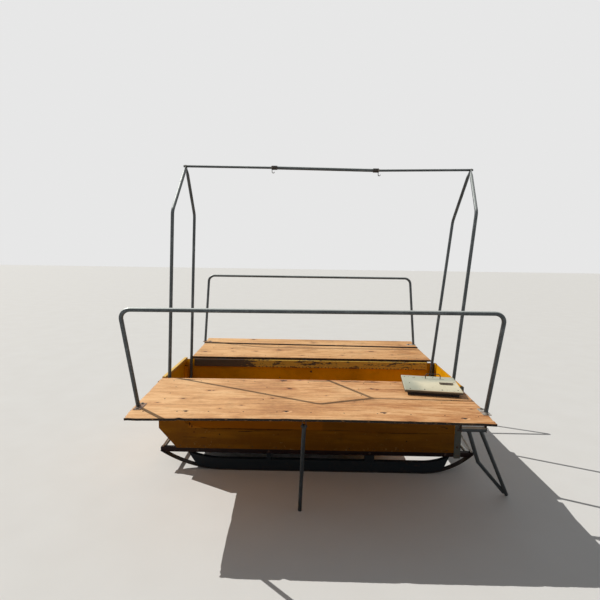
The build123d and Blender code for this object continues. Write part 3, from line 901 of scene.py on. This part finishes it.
# One row for each board: node, finish, nibbling, warp, seed, bites, shifts of
# its corners, rise of its far edge and curl of its near edge
board_rows = (
    ("near_deck", near_ply, 0.004, 0.0012, 2, near_bites, ((-2, 0), (-10, 0), (16, 2), (-34, 2)), 0, 0),
    ("far_deck_inner", far_ply, 0.005, 0.0015, 11, far_bites, ((32, 0), (0, 0), (6, -47), (14, 31)), 0, 0),
    ("far_deck_outer", far_ply, 0.005, 0.0015, 23, far_bites, ((6, 34), (8, -44), (14, 14), (0, 16)), 6, 8),
)
for node, finish, *shape in board_rows:
    word = node.split("_")[0]
    finished(f"{node}_board", board(node, *shape), finish, f"{word}_wing", f"{word}_deck_wood", node)


# Tub. Plywood boards painted amber yellow, with a darker colour on their
# outward faces that is painted shade, strongest on the near side, with scuffs
# along the grain, chips down to the wood, and darkening towards the bottom and
# in blotches. Bare timber stiffens its top edges and corners.

tub_heart = place(0, 0, 440)
tub_top = 704
tub_half_width = 378
floor_bottom = 175


def eased(node, width=0.8, outside_share=1.0):
    """Mesh of a node with its sharp edges eased, and its outward faces marked with the share they take of a
    darker outside colour.
    """
    bm = bmesh.new()
    bm.from_mesh(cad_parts[node].data)
    bmesh.ops.remove_doubles(bm, verts=bm.verts[:], dist=1e-6)
    bmesh.ops.dissolve_limit(bm, angle_limit=radians(0.5), verts=bm.verts[:], edges=bm.edges[:])
    pairs = [edge for edge in bm.edges if len(edge.link_faces) == 2]
    sharp = [edge for edge in pairs if edge.calc_face_angle(0) > hard_edge]
    if width:
        bmesh.ops.bevel(bm, geom=sharp, offset=width * mm, segments=1, affect="EDGES", clamp_overlap=True)
    large = [face for face in bm.faces if len(face.verts) > 4]
    bmesh.ops.triangulate(bm, faces=large)
    outside = bm.faces.layers.float.new("outside")
    for face in bm.faces:
        face[outside] = outside_share if face.normal.dot(face.calc_center_median() - tub_heart) > 0 else 0.0
    return mesh_of(f"{node}_eased", bm, outwards=False)


def dressed(nodes, ending, material, slot, width=0.8):
    """Pieces of the tub made of nodes with their edges eased."""
    for node in nodes:
        finished(f"{node}_{ending}", eased(node, width), material, "tub", slot, node)


def raised(mesh, share=lambda point: 1.0, cuts=0):
    """Mesh lifted with the near deck's bow, by a share that depends on the place."""
    bm = bmesh.new()
    bm.from_mesh(mesh)
    for cut in range(1, cuts):
        x = deck_low.x + (deck_high.x - deck_low.x) * cut / cuts
        geometry = bm.verts[:] + bm.edges[:] + bm.faces[:]
        bmesh.ops.bisect_plane(bm, geom=geometry, plane_co=(x, 0, 0), plane_no=(1, 0, 0))
    for vert in bm.verts:
        vert.co.z += bow(vert.co) * share(vert.co)
    bm.to_mesh(mesh)
    bm.free()
    return mesh


def raised_top(mesh, rise):
    """Mesh of a piece of the tub whose top stands some millimetres higher."""
    for vert in mesh.vertices:
        if vert.co.z > (tub_top - 10) * mm:
            vert.co.z += rise * mm
    return mesh


def painted_wood(name, inside_colour, outside_colour, wood_colour, scars_and_step_shade=()):
    """Painted plywood, scuffed along its grain, chipped at its edges, with the outside colour on outward
    faces, darker on the tub as painted shade, and with scars and a painted shade line under the near side's
    panel step.
    """
    paint = Finish(name)
    outside = paint.mark("outside")
    z = paint.axis("Z")
    paint.colour = paint.mix(outside, inside_colour, outside_colour)
    cloud = paint.cloud(3.2, 5, 0.6)
    paint.coat(cloud.within(0.35, 0.7) * 0.35, outside_colour)
    fade = paint.cloud((2.2, 2.2, 20), 4, 0.6).within(0.45, 0.72)
    paint.coat(fade * 0.1, inside_colour)
    grain = paint.cloud((9, 9, 240), 4, 0.6)
    scuff = paint.cloud((5, 5, 90), 4, 0.7).within(0.62, 0.7)
    scuff = scuff * paint.cloud(2.4, 2).within(0.45, 0.62)
    paint.coat(scuff * 0.6, (92, 62, 30))
    edge = z.within((tub_top - 16) * mm, (tub_top - 1) * mm)
    low = 1 - z.within((floor_bottom + 6) * mm, (floor_bottom + 60) * mm)
    chip = paint.cloud(46, 6, 0.72) + (edge | low) * 0.07
    chip = chip.within(0.64, 0.665) * paint.cloud(5, 2).within(0.36, 0.6)
    paint.coat(chip, wood_colour)
    # Darker towards the bottom, and in scattered blotches.
    darkening = (1 - z.within(0.19, 0.42)) * 0.5 + paint.cloud(7, 6, 0.7).within(0.5, 0.75) * 0.35
    paint.coat(darkening * 0.6, (44, 29, 8))
    if scars_and_step_shade:
        x = paint.axis("X")
        near = outside * (1 - paint.axis("Y").within(-0.35, -0.34))
        wobble = (paint.cloud(30, 3) - 0.5) * 1.2
        above = z.within((panel_step - 2) * mm, (panel_step + 2) * mm)
        above = above * (1 - x.within(at_x(100), at_x(130)))
        above = above * x.within(at_x(panel_front - 12), at_x(panel_front + 12))
        paint.coat(above * near * 0.5, (168, 96, 2))
        ovals = [(at_x(row[0]), row[1] * mm, row[2] * mm, row[3] * mm) for row in scars_and_step_shade]
        nearest = nearest_reach(x, z, ovals)
        scar_and_step_shade = (1 - (nearest + wobble).within(0.55, 1.0)) * near
        paint.coat(scar_and_step_shade * 0.8, (20, 12, 4))
    rough = 0.5 + cloud * 0.2 + chip * 0.25
    return paint.paint(rough, grain * 0.35 - chip - scuff * 0.4, 0.0006, gloss=0.08)


def bare_timber(name, light, dark, stain):
    """Sawn timber with its grain along the sled."""
    wood = Finish(name)
    fibre = wood.cloud((7, 170, 170), 5, 0.65)
    streak = wood.cloud((2.5, 32, 32), 3, 0.6)
    wood.colour = wood.mix(fibre * 0.5 + streak * 0.5, dark, light)
    wood.coat(streak.within(0.3, 0.75), wood.mix(fibre, dark, light))
    wood.coat(wood.cloud(11, 5, 0.65).within(0.5, 0.7) * 0.4, stain)
    return wood.paint(0.68 + fibre * 0.2, fibre * 0.6 + streak * 0.4, 0.0008)


panel_front = -930
panel_step = 340
# One row for each dark mark on the near side: X, Z, and half its length and height. The long thin rows
# along the panel's step are painted shade under the step; the rest are scars.
scars_and_step_shade = (
    (-410, panel_step - 3, 520, 4), (230, 338, 150, 3), (-922, 372, 9, 22), (-905, 352, 8, 14),
    (760, 326, 290, 3), (-930, 264, 60, 3), (-815, 262, 34, 3), (-480, 318, 70, 4), (-380, 324, 60, 3),
    (-688, 290, 8, 8), (-888, 306, 7, 7), (-876, 332, 5, 5), (-230, 300, 5, 5), (772, 262, 8, 8),
    (1052, 382, 30, 4), (1078, 372, 12, 6), (-560, 240, 5, 5), (300, 280, 4, 4),
)
amber = painted_wood("amber_paint", (244, 172, 6), (122, 73, 1), (150, 116, 70), scars_and_step_shade)
side_rise = 3
step_x = -823
step_shift = -130
# Share of the darker outside colour on each board's outward faces: painted shade, strongest on the near
# side.
outside_shade_shares = {"near_side": 1, "far_side": 0.45, "front_wall": 0.3, "front_rake": 0.45, "rear_wall": 0.45}
outside_shade_shares["front_cleats"] = 1
for node, outside_share in outside_shade_shares.items():
    slot = "timber" if node == "front_cleats" else "yellow_paint"
    mesh = eased(node, 1.2, outside_share)
    if node == "near_side":
        raised_top(mesh, side_rise)
        for vert in mesh.vertices:
            if abs(vert.co.x - at_x(step_x)) < 30 * mm and vert.co.z > (panel_step - 20) * mm:
                vert.co.x += step_shift * mm
        # Every face along the near side's outer face takes the full darker outside colour, as painted
        # shade.
        marks = mesh.attributes["outside"].data
        for face in mesh.polygons:
            if face.center.y < at_y(10 - tub_half_width):
                marks[face.index].value = 1.0
    finished(f"{node}_board", mesh, amber, "tub", slot, node)
floor_wood = painted_wood("floor_paint", (176, 128, 52), (52, 36, 20), (150, 122, 84))
dressed(("floor_front", "floor_rear", "floor_strips"), "board", floor_wood, "yellow_paint")

rail = Finish("rail_timber")
fibre = rail.cloud((8, 170, 170), 5, 0.65)
bare = rail.mix(fibre, (44, 32, 22), (104, 80, 56))
rail_paint = rail.mix(rail.cloud(8, 3), (206, 158, 52), (232, 188, 84))
paint_left = rail.axis("X").within(at_x(-760), at_x(-420), -0.22, 0.08)
flaked = rail.cloud((14, 26, 50), 6, 0.7) - paint_left
rail.colour = rail.mix(flaked.within(0.44, 0.5), rail_paint, bare)
nail_rust = 1 - rail.cells((18, 1, 30)).within(0.1, 0.2)
rail.coat(nail_rust * 0.8, (58, 36, 24))
rail.paint(0.7, fibre - flaked.within(0.44, 0.5) * 0.6, 0.0008)
rail_rise = 7
for word in ("near", "far"):
    mesh = raised_top(eased(f"{word}_rail", 1.5), rail_rise)
    finished(f"{word}_rail_strip", mesh, rail.material, "tub", "timber", f"{word}_rail")

timber = bare_timber("bare_timber", (122, 96, 68), (70, 50, 34), (40, 30, 22))
for node, body in (("mast_sockets", "tub"), ("near_battens", "near_wing"), ("far_battens", "far_wing")):
    mesh = eased(node, 1.5)
    if node == "near_battens":
        mesh = raised(mesh, cuts=12)
    finished(f"{node}_timber", mesh, timber, body, "timber", node)

post = Finish("grey_paint")
cloud = post.cloud(12, 5, 0.65)
chip = post.cloud(60, 5, 0.7).within(0.6, 0.63) * post.cloud(6, 2).within(0.4, 0.6)
# The grey is darker than the paint, with painted shade on the corner posts.
post.colour = post.mix(cloud, (48, 49, 43), (78, 79, 70))
post.coat(chip, (96, 58, 36))
post.paint(0.5 + cloud * 0.2, cloud * 0.4 - chip, 0.0006)
dressed(("rear_posts",), "angles", post.material, "corner_steel")


# Sledge. Red-brown sills and beams carry the tub, with channel runners below
# them on bare steel soles. A bent strap ties each sill's tip to the tub, and
# a round tube joins the tips at each end.

sill = Finish("sill_paint")
cloud = sill.cloud(5, 5, 0.6)
fibre = sill.cloud((8, 160, 160), 5, 0.65)
bare = (sill.cloud((14, 60, 60), 5, 0.7) + cloud * 0.2).within(0.62, 0.7)
# The red-brown is nearly black, darkened as painted shade under the tub.
sill.colour = sill.mix(cloud, (15, 9, 9), (34, 16, 14))
sill.coat(bare * 0.5, (48, 34, 26))
sill.paint(0.65, fibre * 0.5 - bare * 0.4, 0.0007, gloss=0.12)
dressed(("near_sill", "far_sill", "cross_beams"), "timber", sill.material, "sill_paint", 1.5)

runner = Finish("runner_paint")
cloud = runner.cloud(9, 5, 0.65)
low_down = 1 - runner.axis("Z").within(0.006, 0.05)
worn = (runner.cloud(40, 6, 0.72) + low_down * 0.06).within(0.58, 0.63)
worn = worn * runner.cloud(4, 2).within(0.35, 0.6)
# The blue-black is darkened further as painted shade under the tub.
runner.colour = runner.mix(cloud, (6, 11, 15), (20, 28, 34))
runner.coat(worn * 0.6, (48, 34, 26))
mud = (1 - runner.axis("Z").within(0.0, 0.09)) * cloud.within(0.4, 0.7)
runner.coat(mud * 0.25, (28, 25, 22))
relief = cloud * 0.4 - worn
runner.paint(0.5 + cloud * 0.25, relief, 0.0007, gloss=0.2)
dressed(("near_runner", "far_runner", "runner_posts"), "steel", runner.material, "runner_paint")

sole = Finish("sole_steel")
cloud = sole.cloud(14, 5, 0.65)
scratch = sole.cloud((4, 300, 300), 4, 0.7)
stops = ((0.35, (30, 22, 18)), (0.55, (46, 40, 36)), (0.75, (84, 80, 76)))
sole.colour = sole.ramp(cloud, *stops)
relief = cloud * 0.5 + scratch * 0.3
sole.paint(0.62 - scratch * 0.3, relief, 0.0005, metallic=0.4)
dressed(("near_shoe", "far_shoe"), "steel", sole.material, "shoe_steel", 0.6)

dressed(("tip_braces",), "straps", plate_zinc.material, "galvanised")
cross_tube_radius = 14
cross_tube_step = 80
for node in ("tow_tube", "rear_cross_tube"):
    low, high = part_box(node)
    middle = (low + high) / 2
    ends = [Vector((middle.x, y, middle.z)) for y in (low.y, high.y)]
    route = subdivided(ends, cross_tube_step * mm)
    mesh = tube_mesh(f"{node}_tube", route, cross_tube_radius * mm, hollow=False)
    finished(f"{node}_tube", mesh, shaded_leg_zinc, "tub", "galvanised", node)


# Small steel. Hinges along the tub's top edges, hangers for the legs, split
# collars with open hooks on the ridge, all dark and rusty.

iron = Finish("dark_steel")
cloud = iron.cloud(26, 5, 0.65)
rust = iron.cloud(60, 6, 0.72).within(0.48, 0.62)
iron.colour = iron.mix(cloud, (28, 27, 26), (56, 54, 51))
iron.coat(rust * 0.5, (76, 46, 30))
iron.paint(0.45 + rust * 0.3, cloud + rust, 0.0004, metallic=0.3 - rust * 0.2)
leaf_bend = 385
leaf_bend_width = 20
bracket_foot = 700
tub_fittings = ("near_tub_leaves", "far_tub_leaves")
wing_parts = ("wing_leaves", "middle_bracket", "end_bracket")
wing_fittings = [f"{word}_{part}" for part in wing_parts for word in ("near", "far")]
for node in (*tub_fittings, *wing_fittings, "ridge_clamps", "ridge_hooks"):
    body = f"{node.split('_')[0]}_wing" if node in wing_fittings else "tub"
    mesh = eased(node, 0.4)
    if node == "near_wing_leaves":
        bend = at_y(-leaf_bend)
        mesh = raised(mesh, lambda point: min(1.0, max(0.0, (bend - point.y) / mm / leaf_bend_width)))
    elif node in ("near_middle_bracket", "near_end_bracket"):
        mesh = raised(mesh, lambda point: 1.0 if point.z > bracket_foot * mm else 0.0)
    finished(f"{node}_steel", mesh, iron.material, body, "fitting_steel", node)


# Bow cap. A square timber painted with the tub is screwed along the top of
# the bow, level with the decks, and its upper face is painted paler than its
# sides, as painted light.

cap_front = -1146
cap_width = 27
cap_top = 731
cap_half_length = 330
cap = Finish("cap_paint")
cloud = cap.cloud((12, 6, 12), 4, 0.6)
# Painted light: the upper face is paler and its sides darker, as if lit from above.
painted_light_top = cap.mix(cloud, (226, 176, 74), (246, 212, 120))
cap.colour = cap.mix(cap.upward().within(0.3, 0.7), (206, 138, 8), painted_light_top)
chip = cap.cloud(40, 6, 0.72).within(0.6, 0.64) * cap.cloud(6, 2).within(0.4, 0.6)
cap.coat(chip, (120, 84, 46))
cap.paint(0.6, cloud * 0.4 - chip, 0.0006)
bm = bmesh.new()
cap_low = place(cap_front, -cap_half_length, tub_top)
cap_high = place(cap_front + cap_width, cap_half_length, cap_top)
bmesh.ops.create_cube(bm, size=1)
for vert in bm.verts:
    share = vert.co + Vector((0.5, 0.5, 0.5))
    vert.co = Vector([low + (high - low) * part for low, high, part in zip(cap_low, cap_high, share)])
bmesh.ops.bevel(bm, geom=bm.edges[:], offset=2 * mm, segments=2, affect="EDGES")
finished("bow_cap", mesh_of("bow_cap", bm), cap.material, "tub", "yellow_paint")


# Hatch cover. A square of plywood on two battens, with worn cream paint that
# is greyer green at the back and the left. The battens, with a third along the
# front underside, and the lower half of the board's edge are nearly black, as
# painted shade under the cover. It lies loose and a little turned on the near
# deck, and a steel plate and a bent wire handle are screwed to it.

cover_middle = (888, -540)
cover_lift = bow(place(*cover_middle, 0))
cover_spin = Matrix.Rotation(radians(-7.5), 3, "Z")
cover_low = 25
cover_thickness = 18
front_batten = (250, 24, 25)
front_batten_y = -155


def laid(node, width):
    """Mesh of a node that lies on the near deck."""
    return raised(eased(node, width), lambda point: cover_lift / bow(point))


def on_cover(x, y, height):
    """Point from millimetres along the turned cover, across it and above the deck."""
    middle = place(*cover_middle, deck_top + height) + Vector((0, 0, cover_lift))
    return middle + cover_spin @ Vector((x * mm, y * mm, 0))


cover = Finish("cream_paint")
cloud = cover.cloud(7, 5, 0.6)
flake = cover.cloud(34, 6, 0.72).within(0.6, 0.64) * cover.cloud(5, 2).within(0.42, 0.6)
back = (cover.axis("Y") + cloud * 0.16 - 0.08).within(at_y(-560), at_y(-440))
left = 1 - (cover.axis("X") + cloud * 0.1).within(at_x(790), at_x(900))
# Painted shade: the lower half of the cover's edge is nearly black.
edge_shade_low = (deck_top + cover_low + cover_thickness * 0.5) * mm + cover_lift
edge_shade_high = (deck_top + cover_low + cover_thickness * 0.9) * mm + cover_lift
cover.colour = cover.mix(cloud, (222, 213, 182), (240, 232, 204))
cover.coat((back | left) * 0.75, (158, 164, 148))
cover.coat(flake * 0.75, (122, 96, 66))
cover.coat((1 - cover.axis("Z").within(edge_shade_low, edge_shade_high)) * 0.9, (30, 22, 16))
cover.paint(0.55, cloud * 0.3 - flake, 0.0007)

# The cover's battens are nearly black timber, as painted shade under the cover.
shaded_cover_timber = bare_timber("stained_timber", (40, 28, 20), (20, 14, 10), (12, 9, 7))
bm = bmesh.new()
bm.from_mesh(laid("cover_battens", 1.5))
for vert in bmesh.ops.create_cube(bm, size=1)["verts"]:
    x, y, z = [share * size for share, size in zip(vert.co, front_batten)]
    vert.co = on_cover(x, y + front_batten_y, z + front_batten[2] / 2)

latch = Finish("latch_steel")
cloud = latch.cloud(30, 5, 0.65)
latch.colour = latch.mix(cloud.within(0.35, 0.65), (88, 76, 62), (142, 130, 112))
latch.paint(0.5 + cloud * 0.2, cloud, 0.0004, metallic=0.2)
for node, ending, mesh, material, slot in (
    ("hatch_cover", "board", laid("hatch_cover", 1.6), cover.material, "cover_wood"),
    ("cover_battens", "timber", mesh_of("cover_battens", bm), shaded_cover_timber, "timber"),
    ("cover_latch", "steel", laid("cover_latch", 0.5), latch.material, "fitting_steel"),
    ("cover_handle", "wire", laid("cover_handle", 0), iron.material, "fitting_steel"),
):
    finished(f"{node}_{ending}", mesh, material, "near_wing", slot, node)


# Fasteners. Hexagon bolts on washers hold what carries load, and small screws
# and nails hold the boards. One tree makes them all on scattered places, each
# with its own spin.

bolts = Tree(bpy.data.node_groups.new("fasteners", "GeometryNodeTree"))
size_words = ("Head Radius", "Head Height", "Head Sides", "Head Taper", "Washer Radius", "Washer Height")
socket_kinds = {"Places": "Geometry", "Head Sides": "Int", "Seed": "Int", "Finish": "Material"}
sockets = bolts.group.interface
for word in ("Places", *size_words, "Seed", "Finish"):
    kind = f"NodeSocket{socket_kinds.get(word, 'Float')}"
    sockets.new_socket(name=word, in_out="INPUT", socket_type=kind)
sockets.new_socket(name="Fasteners", in_out="OUTPUT", socket_type="NodeSocketGeometry")
given = {socket.name: Wire(bolts, socket) for socket in bolts.group.nodes.new("NodeGroupInput").outputs}


def stub(sides, bottom, top, depth):
    """Short prism of the tree, which may taper."""
    values = {"Vertices": sides, "Radius Bottom": bottom, "Radius Top": top, "Depth": depth}
    return bolts.add("GeometryNodeMeshCone", {"fill_type": "NGON"}, values)


shoulder = given["Head Radius"] * given["Head Taper"]
head = stub(given["Head Sides"], given["Head Radius"], shoulder, given["Head Height"])
lift_head = bolts.add("ShaderNodeCombineXYZ", {}, {"Z": given["Washer Height"]})
head = bolts.add("GeometryNodeTransform", {}, {"Geometry": head, "Translation": lift_head})
washer = stub(12, given["Washer Radius"], given["Washer Radius"], given["Washer Height"])
both = bolts.add("GeometryNodeJoinGeometry", {}, {0: [washer, head]})
facing = bolts.add("GeometryNodeInputNamedAttribute", {"data_type": "FLOAT_VECTOR"}, {"Name": "facing"})
stand = bolts.add("FunctionNodeAlignRotationToVector", {"axis": "Z"}, {"Vector": facing})
turns = {2: 0.0, 3: 2 * pi, "Seed": given["Seed"]}
spin = bolts.add("FunctionNodeRandomValue", {"data_type": "FLOAT"}, turns, 1)
spin = bolts.add("ShaderNodeCombineXYZ", {}, {"Z": spin})
spin = bolts.add("FunctionNodeEulerToRotation", {}, {0: spin})
spun = {"Rotation": stand, "Rotate By": spin}
stand = bolts.add("FunctionNodeRotateRotation", {"rotation_space": "LOCAL"}, spun)
placed = {"Points": given["Places"], "Instance": both, "Rotation": stand}
placed = bolts.add("GeometryNodeInstanceOnPoints", {}, placed)
placed = bolts.add("GeometryNodeRealizeInstances", {}, {0: placed})
placed = bolts.add("GeometryNodeSetMaterial", {}, {"Geometry": placed, "Material": given["Finish"]})
bolts.fill(bolts.group.nodes.new("NodeGroupOutput").inputs[0], placed)


# Head radius, head height, head sides, taper, washer radius and washer height, in metres
hex_bolt = (0.0075, 0.0052, 6, 0.94, 0.0115, 0.0016)
small_bolt = (0.0052, 0.0038, 6, 0.94, 0.008, 0.0012)
coach_bolt = (0.0095, 0.0035, 10, 0.55, 0.0098, 0.0006)
wood_screw = (0.0042, 0.0009, 8, 0.8, 0.0046, 0.0004)
clout_nail = (0.0048, 0.0012, 8, 0.7, 0.005, 0.0004)

skyward = Vector((0, 0, 1))
rusty = Finish("rusty_screw")
cloud = rusty.cloud(90, 4, 0.6)
rusty.colour = rusty.mix(cloud, (34, 22, 16), (74, 48, 32))
rusty.paint(0.6 + cloud * 0.2, cloud, 0.0003, metallic=0.2)

bolt_steel = Finish("bolt_steel")
cloud = bolt_steel.cloud(70, 4, 0.6)
bolt_steel.colour = bolt_steel.mix(cloud, (92, 86, 78), (142, 138, 130))
bolt_steel.coat(bolt_steel.cloud(120, 5, 0.7).within(0.55, 0.66) * 0.7, (98, 58, 36))
bolt_steel.paint(0.4 + cloud * 0.25, cloud, 0.0003, metallic=0.5)


def fastened(name, heads, sizes, body, seed, finish=rusty):
    """Fasteners at points that each come with the way they face, joined into one piece."""
    places = bpy.data.meshes.new(f"{name}_places")
    places.from_pydata([point for point, _ in heads], [], [])
    ways = places.attributes.new("facing", "FLOAT_VECTOR", "POINT")
    ways.data.foreach_set("vector", [part for _, way in heads for part in way])
    carrier = bpy.data.objects.new(f"{name}_carrier", places)
    scene.collection.objects.link(carrier)
    modifier = carrier.modifiers.new("fasteners", "NODES")
    modifier.node_group = bolts.group
    values = dict(zip(size_words, sizes))
    values.update({"Seed": seed, "Finish": finish.material})
    for item in sockets.items_tree:
        if item.name in values:
            modifier[item.identifier] = values[item.name]
    ready = carrier.evaluated_get(bpy.context.evaluated_depsgraph_get())
    mesh = bpy.data.meshes.new_from_object(ready)
    mesh.name = name
    carrier.modifiers.clear()
    bpy.data.objects.remove(carrier)
    bpy.data.meshes.remove(places)
    finished(name, mesh, finish.material, body, "fitting_steel", smooth=False)


def on_deck(x, y, height=0.0):
    """Point on a deck's top and the way up."""
    point = place(x, y, deck_top + height)
    if y < 0:
        point.z += bow(point)
    return point, skyward


screw_pitch = 205
screw_front = -1020
screw_lines = (441, 1096)
batten_xs = (-960, -300, 360, 880)
batten_ys = (590, 740, 860)
for word, side in both_sides:
    rows = []
    for line in screw_lines:
        for index in range(11):
            x = screw_front + index * screw_pitch + 14 * ripple(index * 3.7, line, side)
            rows.append((x, side * (line + 9 * ripple(index * 5.1, line, side * 3))))
    for x in batten_xs:
        for y in batten_ys:
            rows.append((x + 8 * ripple(x, y, 1.5), side * y))
    heads = [on_deck(x, y, 0.1) for x, y in rows]
    fastened(f"{word}_deck_screws", heads, wood_screw, f"{word}_wing", 3 + side)

heads = [on_deck(x + 4, y - 3) for x, y, _ in near_dents]
fastened("near_deck_coach_bolts", heads, coach_bolt, "near_wing", 21)

plate_bolt_edge = 14
plate_bolt_reach = 26
for word, side, foot_y, lean, plate, plate_inset, front_leg, rear_leg in hoop_rows:
    heads = []
    for x, inwards in ((front_leg[0], 1), (rear_leg[0], -1)):
        foot, _ = on_deck(x, side * foot_y, plate_thickness)
        shifts = [(plate_inset + plate_bolt_reach, 0)]
        if plate[1] > plate[0]:
            shifts = [(plate_inset, way * (plate[1] / 2 - plate_bolt_edge)) for way in (-1, 1)]
        heads += [(foot + Vector((inwards * along, aside, 0)) * mm, skyward) for along, aside in shifts]
    fastened(f"{word}_hoop_bolts", heads, hex_bolt, f"{word}_wing", 31 + side, bolt_steel)

for word, side in both_sides:
    heads = []
    for node in (f"{word}_middle_bracket", f"{word}_end_bracket"):
        for end, way in zip(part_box(node), (-1, 1)):
            point = Vector((end.x, at_y(side * leg_pivot_y), leg_pivot_z * mm))
            heads.append((point, Vector((way, 0, 0))))
    fastened(f"{word}_hanger_bolts", heads, hex_bolt, f"{word}_wing", 41 + side, iron)

floor_screws = (-1000, 190)
floor_screw_z = 193
top_screws = (-930, 240)
top_screw_z = tub_top - 22
outwards = ((-1, Vector((0, -1, 0))), (1, Vector((0, 1, 0))))
heads = []
for side, out in outwards:
    for index in range(12):
        x = floor_screws[0] + index * floor_screws[1] + 16 * ripple(index * 2.3, side, 7)
        z = floor_screw_z + 6 * ripple(index * 4.1, side, 5)
        heads.append((place(x, side * tub_half_width, z), out))
    for index in range(9):
        x = top_screws[0] + index * top_screws[1]
        heads.append((place(x, side * tub_half_width, top_screw_z), out))
fastened("tub_side_screws", heads, wood_screw, "tub", 51)

post_x = 1168
post_bolt_zs = (222, 360, 500, 640)
sill_bolt_xs = (-860, -303, 490, 1080)
sill_bolt_z = 157
heads = []
for (side, out), face in zip(outwards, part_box("rear_posts")):
    heads += [(Vector((at_x(post_x), face.y, z * mm)), out) for z in post_bolt_zs]
    heads += [(place(x, side * (tub_half_width - 6), sill_bolt_z), out) for x in sill_bolt_xs]
fastened("tub_coach_bolts", heads, coach_bolt, "tub", 57)

clamp_bolt = 17
apex_bolt = 18
heads = []
for index, reach in ((1, clamp_bolt), (2, clamp_bolt), (0, apex_bolt), (3, apex_bolt)):
    heads += [(ridge_points[index] + out * reach * mm, out) for _, out in outwards]
fastened("ridge_bolts", heads, small_bolt, "tub", 61, bolt_steel)

nail_front = -520
nail_pitch = 34
nail_y = 346
nail_z = 648
nearward = Vector((0, -1, 0))
heads = []
for index in range(46):
    x = nail_front + index * nail_pitch + 12 * ripple(index * 1.9, 4.5, 2)
    z = nail_z + 5 * ripple(index * 2.7, 1.5, 8)
    heads.append((place(x, nail_y, z), nearward))
fastened("far_rail_nails", heads, clout_nail, "tub", 67)
fastened("far_side_bolt", [(place(30, 366, 605), nearward)], coach_bolt, "tub", 71)

spots = ((-172, 150), (-150, -20), (-158, -165), (-60, -168), (40, 160), (60, -158), (168, -150))
spots += ((172, 40), (-100, 140))
heads = [(on_cover(x, y, cover_low + cover_thickness), skyward) for x, y in spots]
fastened("cover_screws", heads, clout_nail, "near_wing", 73)
